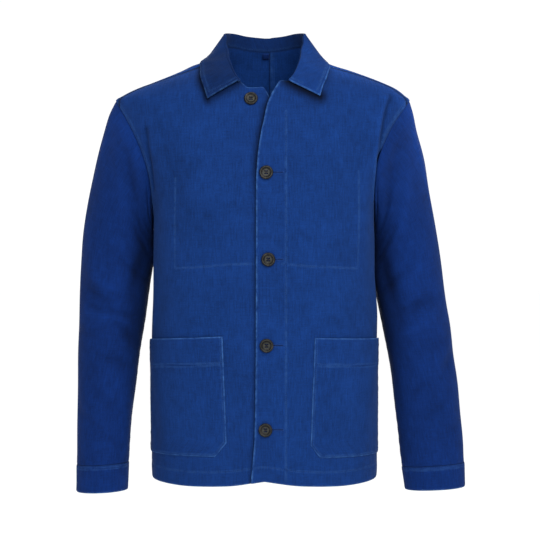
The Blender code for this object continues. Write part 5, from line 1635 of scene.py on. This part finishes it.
def dress_sleeve(side):
    name = f"sleeve_{SIDES[side]}"
    shares = spaced(SLEEVE_FLAT_LENGTH, True, True)
    made = [sleeve_ring(side, share, HOLES[side]["points"]) for share in shares]
    base, turn = np.stack([ring for ring, _ in made]), np.stack([turn for _, turn in made])
    around = looped(base)
    relief, seams = 0.0, []
    for key, path in {"sleeve_cap": around[0], "sleeve_end": around[-1], "under_sleeve": base[:, 0]}.items():
        away, along = nearest_on(base, path)
        relief = relief + groove(away, key) + ripples(away, along, key, SEEDS[key] + side)
        seams.append(away + (0.0 if key == "under_sleeve" else SEAM_PALE["arm"]))
    outer = base + normals_of(base, True) * relief[..., None]
    back = base[:, ::-1]
    rows = [np.array([picked(ring, run_of(ring), away) for ring in back]) for away in (NEAR_ROW, FAR_ROW)]
    folds = [sleeve_folds(side, *at) + sleeve_creases(side, *at) for at in zip(shares, turn)]
    turned = np.abs(np.mod(turn + math.pi, 2 * math.pi) - math.pi)
    # Painted light and shade: lighter where folds stand up and darker where they sink, lighter at the cap and
    # along the outer line, darker along the inner line
    down, tone = shares[:, None], SLEEVE_PAINTED_LIGHT_AND_SHADE[side]
    inner_painted_shade = ease(down, *INNER_PAINTED_SHADE_STARTS) * (1 - ease(down, *INNER_PAINTED_SHADE_FADES))
    depth = np.clip(1 + SLEEVE_FOLD_PAINTED_LIGHT * np.stack(folds), *FOLD_PAINTED_LIGHT_RANGE)
    depth = depth + tone.cap * (1 - ease(down, 0.0, CAP_PAINTED_LIGHT_TO))
    depth = depth + tone.outer * (1 - ease(turned, *OUTER_PAINTED_LIGHT_TURNS)) * (1 - ease(down, *OUTER_PAINTED_LIGHT_FADES))
    depth = depth - tone.inner * ease(turned, *INNER_PAINTED_SHADE_TURNS) * inner_painted_shade
    fields = {"seam": np.minimum.reduce(seams), "row": measure(base, rows), "depth": depth}
    run = run_of(around, axis=1)
    rise = flat_of(base)[..., 1]
    flat = np.stack([run[:, :-1], rise], axis=-1)
    piece = cloth(name, outer, CLOTH, flat, fields, TWILL_SLEEVE_SHADED, closed_round=True)
    stitches(name, piece, rows)
    state_cut(piece, run[:, -1].max(), rise.max() * SLEEVE_EASE, "hung", looped(outer))
    middles = base.mean(axis=1)
    return base[-1], unit(middles[-1] - middles[-2])


CUFF_LENGTH = 0.046
CUFF_FLAT_LENGTH = 0.052
CUFF_STEP = 0.0022
CUFF_PITCH = 0.0029
CUFF_EASE = 1.03
CUFF_SWELL = 0.00012


def dress_cuff(side, seam_ring, down):
    name = f"cuff_{SIDES[side]}"
    centre, axis, depth = sleeve_frame(side, CUFF_END[side]._asdict())
    start, start_axis, start_depth = sleeve_frame(side, SLEEVES[side][-1]._asdict())
    along = (seam_ring - start) @ start_axis / (start_axis @ start_axis)
    turn = np.arctan2(-(seam_ring - start)[:, 1] / start_depth, along)
    end_ring = centre + np.cos(turn)[:, None] * axis
    end_ring[:, 1] -= np.sin(turn) * depth
    out = unit(seam_ring - seam_ring.mean(axis=0)) * CUFF_STANDS_OUT
    share = spaced(CUFF_LENGTH, True, True, CUFF_STEP)[:, None, None]
    base = (seam_ring + out + down * SEAM_GAP) * (1 - share) + (end_ring + out) * share
    around = looped(base)
    relief, to = 0.0, {}
    for key, path in {"cuff_seam": around[0], "cuff_edge": around[-1]}.items():
        to[key], along = nearest_on(base, path)
        relief = relief + groove(to[key], key) + ripples(to[key], along, key, SEEDS[key] + side)
    for away in CUFF_ROWS:
        relief = relief + groove(to["cuff_seam"] - away, "cuff_row")
    height = np.broadcast_to(share[..., 0] * CUFF_LENGTH, base.shape[:2])
    relief = relief + swell(turn[None], height, SEEDS["cuff"] + side, CUFF_SWELL)
    outer = base + unit(base - base.mean(axis=1, keepdims=True)) * relief[..., None]
    rows = [np.concatenate([row, row[:1]]) for row in (inset(base, "bottom", away) for away in CUFF_ROWS)]
    fields = {"seam": to["cuff_seam"], "edge": to["cuff_edge"], "row": measure(base, rows)}
    piece = cloth(name, outer, CUFF_CLOTH, flat_of(base), fields, TWILL_SLEEVE_SHADED, closed_round=True)
    stitches(name, piece, rows, pitch=CUFF_PITCH)
    state_cut(piece, run_of(around[0])[-1] * CUFF_EASE, CUFF_FLAT_LENGTH, "folded", looped(outer))


# Collar: its grid, and the slow unevenness of its fall
COLLAR_STEP = 0.0026
COLLAR_FORE = 0.095
COLLAR_AFT = 0.110
COLLAR_FALL = 30
STAND_POINTS = 8
FALL_LENGTH = 0.062
COLLAR_SWELL = 0.00012
COLLAR_SWELL_SPAN = (7, 0.06)
# How far forward a point of the fall lies where each leaf's painted light and shade begins and where it is
# full
LEAF_PAINTED_LIGHT_FROM_Y = (-0.010, 0.045)


def dress_collar():
    stations = []
    for side in (RIGHT, LEFT):
        centre_angle = abs(math.degrees(float(centre_back_path(side)[-1, 0])))
        fore = neck_path(side, COLLAR_END_ANGLE, NECK_POINT, spaced(COLLAR_FORE, True, False, COLLAR_STEP))
        aft = neck_path(side, NECK_POINT, centre_angle, spaced(COLLAR_AFT, False, False, COLLAR_STEP))
        stations.append([(side, angle) for angle, _ in joined(fore, aft)])
    stations = stations[0] + stations[1][::-1][1:]
    under = np.stack([collar_section(side, angle) for side, angle in stations], axis=1)
    showing = face_normals(under)
    shape = under.shape[:2]
    fall = len(under) - COLLAR_FALL
    outline = joined(under[fall:, 0], under[-1], under[fall:][::-1, -1])
    away, run = nearest_on(under, outline, 160)
    on_fall = np.zeros(shape)
    on_fall[fall - 2:] = 1
    wide, tall = (np.linspace(0, span, size) for span, size in zip(COLLAR_SWELL_SPAN, shape[::-1]))
    relief = on_fall * (groove(away, "collar_edge") + groove(away - COLLAR_ROW, "collar_row")
                        + ripples(away - COLLAR_ROW, run, "collar_row", SEEDS["collar_row"]))
    relief += on_fall * swell(wide[None], tall[:, None], SEEDS["collar"], COLLAR_SWELL)
    outer = under + showing * relief[..., None]
    rows = [collar_row(under, away, fall), under[1, 3:-3]]
    # Painted light and shade on the collar: each leaf of the fall by how it turns to the light, and painted
    # shade on the stand
    leaf = np.where(outer[..., 0] < 0, COLLAR_LEAF_PAINTED_LIGHT[RIGHT], COLLAR_LEAF_PAINTED_LIGHT[LEFT])
    depth = np.where(on_fall > 0, 1 + (leaf - 1) * ease(-outer[..., 1], *LEAF_PAINTED_LIGHT_FROM_Y), STAND_PAINTED_SHADE)
    fields = {"edge": np.where(on_fall > 0, away, FAR), "row": measure(under, rows), "depth": depth}
    piece = cloth("collar", outer, COLLAR_CLOTH, flat_of(under), fields, TWILL, facing=showing)
    stitches("collar", piece, rows)
    state_cut(piece, run_of(under, axis=1)[:, -1].max(), run_of(under)[-1].max(), "folded", under)


def collar_row(under, away, fall):
    """The collar's topstitch row, the same distance in from its two ends and its lower edge."""
    rows, gaps = under[fall:], away[fall:]
    half = under.shape[1] // 2
    lower = [cut_at(rows[::-1, c], gaps[::-1, c], COLLAR_ROW) for c in range(under.shape[1])
             if gaps[0, c] > COLLAR_ROW]
    ends = []
    for part, corner in ((slice(half), lower[0]), (slice(None, half - 1, -1), lower[-1])):
        end = [cut_at(row[part], gap[part], COLLAR_ROW) for row, gap in zip(rows, gaps)
               if gap[part].max() > COLLAR_ROW]
        ends.append([point for point in end if point[2] > corner[2]])
    return np.array(ends[0] + lower + ends[1][::-1])


def collar_section(side, angle):
    """The collar's showing face at one station: up the stand, over the roll and down the fall."""
    degrees = abs(math.degrees(angle))
    row = {name: float(curve(min(degrees, 180.0))) for name, curve in COLLAR_AT.items()}
    lift = front_lift(side, angle, neck_z(angle)) if degrees < NECK_POINT else 0.0
    seam = body(angle, neck_z(angle), lift)
    out, up = np.array([math.sin(angle), -math.cos(angle), 0.0]), np.array([0, 0, 1.0])
    centre = seam + out * row["lean"] + up * row["stand"] - up * ROLL_RADIUS
    stand = straight(seam + up * SEAM_GAP, centre - out * ROLL_RADIUS, np.linspace(0, 1, STAND_POINTS))
    bends = math.pi * np.arange(1, STAND_POINTS + 1)[:, None] / STAND_POINTS
    roll = centre + ROLL_RADIUS * (-out * np.cos(bends) + up * np.sin(bends))
    edge_angle = angle if abs(angle) > math.pi else math.copysign(math.radians(row["edge_angle"]), angle)
    off = float(np.interp(degrees, *COLLAR_LIES_OFF))
    edge = body(edge_angle, row["edge_z"] + row["rise_" + SIDES[side]], off)
    at = spaced(FALL_LENGTH, False, True, FALL_LENGTH / (COLLAR_FALL - 5))
    return np.concatenate([stand, roll, settle(straight(roll[-1], edge, at)[1:], off)])


# Patch pockets: their grid, and the slow unevenness of their cloth
POCKET_STEP = 0.0026
POCKET_LOWER = 0.034
POCKET_UPPER = 0.166
POCKET_WIDTH = 0.160
CUT_SHARE = 1 / 6
MOUTH_FADE = 0.001
POCKET_SWELL = 0.000198
POCKET_SWELL_FADES = (0.004, 0.03)
ROW_ABOVE = 0.0006  # how far above the lower row the side rows end


def dress_pocket(side):
    name, cut = f"pocket_{SIDES[side]}", POCKETS[side]
    outer_angle = side * math.radians(POCKET_OUTER_ANGLE)
    top_corner = (float(angle_at_x(cut.inner_top_x, cut.top_inner_z)), cut.top_inner_z)
    cut_top = (float(angle_at_x(cut.inner_bottom_x, cut.cut_top_z)), cut.cut_top_z)
    cut_end = (float(angle_at_x(cut.cut_x, cut.bottom_z)), cut.bottom_z)
    low, high = spaced(POCKET_LOWER, True, False, POCKET_STEP), spaced(POCKET_UPPER, False, True, POCKET_STEP)
    upward = chained((CUT_SHARE, low), (1 - CUT_SHARE, high))
    across = spaced(POCKET_WIDTH, True, True, POCKET_STEP)
    inner_edge = joined(straight(cut_end, cut_top, low), straight(cut_top, top_corner, high))
    outer_edge = straight((outer_angle, cut.bottom_z), (outer_angle, cut.top_outer_z), upward)
    bottom = straight(inner_edge[0], outer_edge[0], across)
    top = straight(inner_edge[-1], outer_edge[-1], across)
    angle, z = np.moveaxis(coons(bottom, outer_edge, top, inner_edge, across, upward), -1, 0)
    arch = np.sin(math.pi * (MOUTH_ARCH_FROM + (MOUTH_ARCH_TO - MOUTH_ARCH_FROM) * across[None, :]))
    gape = MOUTH_STANDS_OFF * arch * (1 - ease(top[None, :, 1] - z, 0, MOUTH_FADES_OVER))
    base = front_point(side, angle, z, LAID_ON + gape + CLOTH)
    to_top, along_top = nearest_on(base, base[-1])
    gap, along = nearest_on(base, joined(base[::-1, 0], base[0], base[:, -1]), 140)
    relief = groove(gap, "pocket_edge") + groove(gap - POCKET_ROW, "pocket_row")
    relief += ripples(gap - POCKET_ROW, along, "pocket_row", SEEDS["pocket_row"] + side)
    relief += groove(to_top, "pocket_mouth")
    relief += BAND_STANDS_OUT * (1 - ease(to_top, BAND_ROWS[1] - MOUTH_FADE, BAND_ROWS[1] + MOUTH_FADE))
    for away in BAND_ROWS:
        relief += groove(to_top - away, "pocket_band")
    relief += ripples(to_top - BAND_ROWS[0], along_top, "pocket_band", SEEDS["pocket_band"] + side)
    turns = np.linspace(0, 3, base.shape[1])[None] + 0 * z
    relief += swell(turns, z, SEEDS["pocket"] + side, POCKET_SWELL) * ease(gap, *POCKET_SWELL_FADES)
    outer = front_point(side, angle, z, LAID_ON + gape + CLOTH + relief)
    inner = front_point(side, angle, z, LAID_ON * 0.5 + gape)
    rows = [pocket_row(base, gap)] + [inset(base, "top", away)[3:-3] for away in BAND_ROWS]
    fields = {"edge": np.minimum(gap, to_top), "row": measure(base, rows)}
    flat = flat_of(base)
    piece = cloth(name, outer, np.linalg.norm(outer - inner, axis=2), flat, fields, TWILL)
    stitches(name, piece, rows)
    state_cut(piece, flat[..., 0].max(), run_of(base)[-1].max(), "laid", base,
              rests_on=[f"front_{SIDES[side]}"])


def pocket_row(base, gap):
    """One row of stitches round a pocket's sides and bottom, a fixed distance in."""
    half_rows, half_cols = base.shape[0] // 2, base.shape[1] // 2
    inside = [r for r in range(base.shape[0]) if gap[r, half_cols] > POCKET_ROW]
    left = [cut_at(base[r, :half_cols], gap[r, :half_cols], POCKET_ROW) for r in inside]
    right = [cut_at(base[r, :half_cols:-1], gap[r, :half_cols:-1], POCKET_ROW) for r in inside]
    low = [cut_at(base[:half_rows, c], gap[:half_rows, c], POCKET_ROW) for c in range(base.shape[1])
           if gap[half_rows, c] > POCKET_ROW]
    least = np.median([p[2] for p in low]) + ROW_ABOVE
    return np.array([p for p in left[::-1] if p[2] > least] + low + [p for p in right if p[2] > least])


def dress_inner_pocket(side, outer):
    name, extent = f"inner_pocket_{SIDES[side]}", INNER_POCKETS[side]
    up = outer[:, 0, 2]
    x = outer[np.argmin(np.abs(up - (extent.top_z + extent.bottom_z) / 2)), :, 0]
    near, far = abs(extent.edge_x - x[0]), abs(extent.side_x - x[0])
    cols = np.where((np.abs(x - x[0]) >= near) & (np.abs(x - x[0]) <= far))[0]
    rows = np.where((up >= extent.bottom_z) & (up <= extent.top_z))[0]
    grid = outer[rows[0]:rows[-1] + 1, cols[0]:cols[-1] + 1]
    face = grid - normals_of(grid) * (CLOTH + 2 * LAID_ON)
    away, _ = nearest_on(face, joined(face[::-1, 0], face[0], face[:, -1], face[-1, ::-1]), 120)
    flat = flat_of(face)
    piece = cloth(name, face, INNER_POCKET_CLOTH, flat, {"edge": away}, TWILL)
    state_cut(piece, *flat.max(axis=(0, 1)), "laid", face, rests_on=[f"front_{SIDES[side]}"])


TAB_POINTS = 9
TAB_STANDS_OFF = 0.0009


def dress_neck_tab(panel):
    """The tab, laid on the inside of the back panel, which is found by rays from the middle of the neck."""
    low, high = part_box("neck_tab")
    tree = BVHTree.FromPolygons([tuple(v.co) for v in panel.data.vertices],
                                [tuple(p.vertices) for p in panel.data.polygons])
    grid = np.zeros((TAB_POINTS, TAB_POINTS, 3))
    for r, z in enumerate(np.linspace(low[2], high[2], TAB_POINTS)):
        for c, x in enumerate(np.linspace(low[0], high[0], TAB_POINTS)):
            hit = tree.ray_cast(Vector((x, 0.0, z)), Vector((0, 1, 0)))
            y = hit[0].y if hit[0] is not None else (low[1] + high[1]) / 2
            grid[r, c] = (x, y - LAID_ON - TAB_THICKNESS, z)
    grid[..., 1] -= TAB_STANDS_OFF * np.sin(math.pi * np.linspace(0, 1, TAB_POINTS))[:, None]
    piece = cloth("neck_tab", grid, -TAB_THICKNESS, flat_of(grid), {}, TAPE, kind="tape")


# ---------------------------------------------------------------- buttons and buttonholes

ButtonRing = namedtuple("ButtonRing", "radius_share height")
BUTTON_SHAPE = table(ButtonRing, [
    (0.70, 0.0000),
    (0.90, 0.0003),
    (0.985, 0.0010),
    (1.00, 0.0017),
    (0.985, 0.0025),
    (0.94, 0.0031),
    (0.87, 0.0034),
    (0.80, 0.0034),
    (0.74, 0.0031),
    (0.69, 0.0025),
    (0.64, 0.0021),
    (0.56, 0.0019),
    (0.38, 0.0018),
    (0.16, 0.0018),
])
BUTTON_SIDES = 48
HOLE_SIDES = 16
BUTTON_SHARP = math.radians(50)
THREAD_RADIUS = 0.00030
THREAD_SIDES = 6
THREAD_POINTS = 9
THREAD_BESIDE = 0.00028  # from a bar's middle to each of its two threads
THREAD_ABOVE = 0.0021
THREAD_ARCH = 0.0005
THREAD_SINKS = 0.0018
SHANK_RADIUS = 0.0022
SHANK_SIDES = 12
SHANK_HEIGHTS = (-0.0012, -0.0004, 0.0002)
# Buttonhole: its stitches lie between these distances from the slit
HOLE_ROW_PITCH = 0.00052
HOLE_ROW = (0.0004, 0.0020)
HOLE_END_ROW = (0.0004, 0.0022)
HOLE_STITCH = {"pitch": 0.004, "length": 0.0017, "width": 0.00030}
BUTTONHOLE_ABOVE = 0.0004
SLIT_RADIUS = 0.00042
SLIT_LIFT = 0.00005


def circle(sides):
    """Cosine and sine of even turns."""
    turns = [2 * math.pi * step / sides for step in range(sides)]
    return [(math.cos(turn), math.sin(turn)) for turn in turns]


def button_mesh():
    bm = bmesh.new()
    rings = [[bm.verts.new((c * reach, s * reach, level.height)) for c, s in circle(BUTTON_SIDES)]
             for level in BUTTON_SHAPE for reach in [level.radius_share * BUTTON_RADIUS]]
    for low, high in zip(rings, rings[1:]):
        for step in range(BUTTON_SIDES):
            after = (step + 1) % BUTTON_SIDES
            bm.faces.new((low[step], low[after], high[after], high[step]))
    bm.faces.new(rings[0][::-1])
    bm.faces.new(rings[-1])
    bmesh.ops.recalc_face_normals(bm, faces=bm.faces)
    holes = bmesh.new()
    for across, along in ((1, 1), (-1, 1), (-1, -1), (1, -1)):
        made = bmesh.ops.create_cone(holes, cap_ends=True, segments=HOLE_SIDES, radius1=HOLE_RADIUS,
                                     radius2=HOLE_RADIUS, depth=HOLE_CUT_DEPTH)
        bmesh.ops.translate(holes, verts=made["verts"], vec=(across * HOLE_OFFSET, along * HOLE_OFFSET, 0))
    objects = []
    for name, shape in (("button_whole", bm), ("button_cutter", holes)):
        mesh = bpy.data.meshes.new(name)
        shape.to_mesh(mesh)
        shape.free()
        objects.append(bpy.data.objects.new(name, mesh))
        bpy.context.scene.collection.objects.link(objects[-1])
    cut = objects[0].modifiers.new("holes", "BOOLEAN")
    cut.operation, cut.object = "DIFFERENCE", objects[1]
    done = bpy.data.meshes.new_from_object(objects[0].evaluated_get(bpy.context.evaluated_depsgraph_get()))
    for obj in objects:
        bpy.data.objects.remove(obj)
    reach = [math.hypot(v.co.x, v.co.y) / BUTTON_RADIUS for v in done.vertices]
    done.attributes.new("reach", "FLOAT", "POINT").data.foreach_set("value", reach)
    done.shade_smooth()
    done.set_sharp_from_angle(angle=BUTTON_SHARP)
    return done


def tube(points, radius, sides, start=0):
    """A round tube along points, as vertices and faces, with the first vertex numbered start."""
    points = np.asarray(points, float)
    ways = unit(np.gradient(points, axis=0))
    out, faces = [], []
    side = unit(np.cross(ways[0], (0.3, 0.7, 0.64)))
    for k, (point, way) in enumerate(zip(points, ways)):
        side = unit(side - way * (side @ way))
        up = np.cross(way, side)
        out += [point + radius * (c * side + s * up) for c, s in circle(sides)]
        if k:
            low, high = (k - 1) * sides, k * sides
            steps = [(s, (s + 1) % sides) for s in range(sides)]
            faces += [(low + s, low + after, high + after, high + s) for s, after in steps]
    faces.append(tuple(range(sides))[::-1])
    faces.append(tuple(len(out) - sides + s for s in range(sides)))
    return out, [tuple(i + start for i in face) for face in faces]


def dress_buttons():
    shape = button_mesh()
    for number, place in enumerate(BUTTONS, start=1):
        side = RIGHT if place.on_under_front else LEFT
        angle = float(angle_at_x(place.x, place.z))
        away = unit(front_point(side, angle, place.z, 1.0) - front_point(side, angle, place.z))
        turned = Vector(away).to_track_quat("Z", "Y").to_matrix().to_4x4()
        turned.translation = Vector(front_point(side, angle, place.z, BUTTON_OFF_CLOTH))
        mesh = shape.copy()
        mesh.transform(turned)
        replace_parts(added(f"button_{number}_horn", mesh, HORN), f"button_{number}")
        share = np.linspace(-1, 1, THREAD_POINTS)
        height = THREAD_ABOVE + THREAD_ARCH * (1 - share**4) - THREAD_SINKS * (np.abs(share) > 0.99)
        bars = []
        for along in (-1, 1):
            for nudge in (-THREAD_BESIDE, THREAD_BESIDE):
                y = np.full(THREAD_POINTS, along * HOLE_OFFSET + nudge)
                path = np.stack([share * HOLE_OFFSET, y, height], axis=1)
                bars.append((path, THREAD_RADIUS, THREAD_SIDES))
        bars.append(([(0, 0, z) for z in SHANK_HEIGHTS], SHANK_RADIUS, SHANK_SIDES))
        verts, faces = [], []
        for bar in bars:
            more, more_faces = tube(*bar, start=len(verts))
            verts, faces = verts + more, faces + more_faces
        add_piece(f"button_{number}_thread", [turned @ Vector(v) for v in verts], faces, DARK_THREAD, "twill")


def dress_buttonholes(piece):
    """Four buttonholes in the left front, worked with close stitches."""
    def on_front(x, z, lift=0.0):
        return front_point(LEFT, angle_at_x(np.array(x), np.array(z)), np.array(z), lift)

    end_x, start_x = BUTTONHOLE_END_X, BUTTONHOLE_END_X - BUTTONHOLE_LENGTH
    for number, place in enumerate(BUTTONS, start=1):
        if place.on_under_front:
            continue
        z = place.z + BUTTONHOLE_ABOVE
        rows = [np.array([on_front(x, z + sign * away) for away in HOLE_ROW])
                for sign in (-1, 1) for x in np.arange(start_x, end_x, HOLE_ROW_PITCH)]
        for turn in np.radians(np.linspace(-80, 80, 11)):
            rows.append(np.array([on_front(end_x + reach * math.cos(turn), z + reach * math.sin(turn))
                                  for reach in HOLE_END_ROW]))
        stitches(f"buttonhole_{number}", piece, rows, **HOLE_STITCH)
        path = [on_front(x, z, SLIT_LIFT) for x in np.linspace(start_x + HOLE_ROW[0], end_x, 14)]
        add_piece(f"buttonhole_{number}_slit", *tube(path, SLIT_RADIUS, THREAD_SIDES), DARK_THREAD, "twill")


# ---------------------------------------------------------------- floor, light and camera

FLOOR_REACH = 90.0
FLOOR_LEVEL = -1.45
FLOOR_WHITE = ((0.95, 0.95, 0.95, 1.0), (0.97, 0.97, 0.97, 1.0))
Lamp = namedtuple("Lamp", "name x y z aim_x aim_y aim_z width height watts")
LAMPS = table(Lamp, [
    ("key", 1.15, -2.45, 1.55, 0.0, 0.0, -0.35, 2.2, 1.8, 190),
    ("fill", -1.3, -2.9, 0.1, 0.0, 0.0, -0.35, 2.0, 2.0, 40),
    ("back", 0.0, 3.2, 0.4, 0.0, 0.0, -0.35, 1.8, 1.8, 90),
])
WORLD_LIGHT = 1.05
CAMERA_AT = (0.009, -3.0, -0.369)
CAMERA_LENS = 117.6
CAMERA_SENSOR = 36.0


def make_stage():
    scene = bpy.context.scene
    mesh = bpy.data.meshes.new("floor")
    corners = [(x * FLOOR_REACH, y * FLOOR_REACH, FLOOR_LEVEL)
               for x, y in ((-1, -1), (1, -1), (1, 1), (-1, 1))]
    mesh.from_pydata(corners, [], [(0, 1, 2, 3)])
    s = Shader("floor_white")
    s.set(Base_Color=s.mix(s.noise(s.place(), 2.0), *FLOOR_WHITE), Roughness=1.0, Specular_IOR_Level=0.0)
    mesh.materials.append(s.material)
    floor = bpy.data.objects.new("floor", mesh)
    scene.collection.objects.link(floor)
    world = bpy.data.worlds.new("studio")
    world.use_nodes = True
    world.node_tree.nodes["Background"].inputs["Color"].default_value = (1, 1, 1, 1)
    world.node_tree.nodes["Background"].inputs["Strength"].default_value = WORLD_LIGHT
    scene.world = world
    for lamp in LAMPS:
        light = bpy.data.lights.new(lamp.name, "AREA")
        light.shape, light.size, light.size_y = "RECTANGLE", lamp.width, lamp.height
        light.energy = lamp.watts
        obj = bpy.data.objects.new(lamp.name, light)
        obj.location = (lamp.x, lamp.y, lamp.z)
        aim = Vector((lamp.aim_x, lamp.aim_y, lamp.aim_z)) - Vector(obj.location)
        obj.rotation_euler = aim.to_track_quat("-Z", "Y").to_euler()
        scene.collection.objects.link(obj)
    camera = bpy.data.cameras.new("camera")
    camera.lens, camera.sensor_width = CAMERA_LENS, CAMERA_SENSOR
    camera.clip_end = 100
    obj = bpy.data.objects.new("camera", camera)
    obj.location = CAMERA_AT
    obj.rotation_euler = (math.radians(90), 0, 0)
    scene.collection.objects.link(obj)
    bpy.context.scene.camera = obj
    scene.view_settings.view_transform = "Standard"
    scene.view_settings.look = "None"
    scene.view_settings.exposure = 0.0
    scene.view_settings.gamma = 1.0


make_stage()
for side in (RIGHT, LEFT):
    front_outer, front_piece = dress_panel(side, True)
    _, back_piece = dress_panel(side, False)
    dress_cuff(side, *dress_sleeve(side))
    dress_pocket(side)
    dress_inner_pocket(side, front_outer)
    if side == RIGHT:
        dress_neck_tab(back_piece)
    else:
        dress_buttonholes(front_piece)
dress_collar()
dress_buttons()
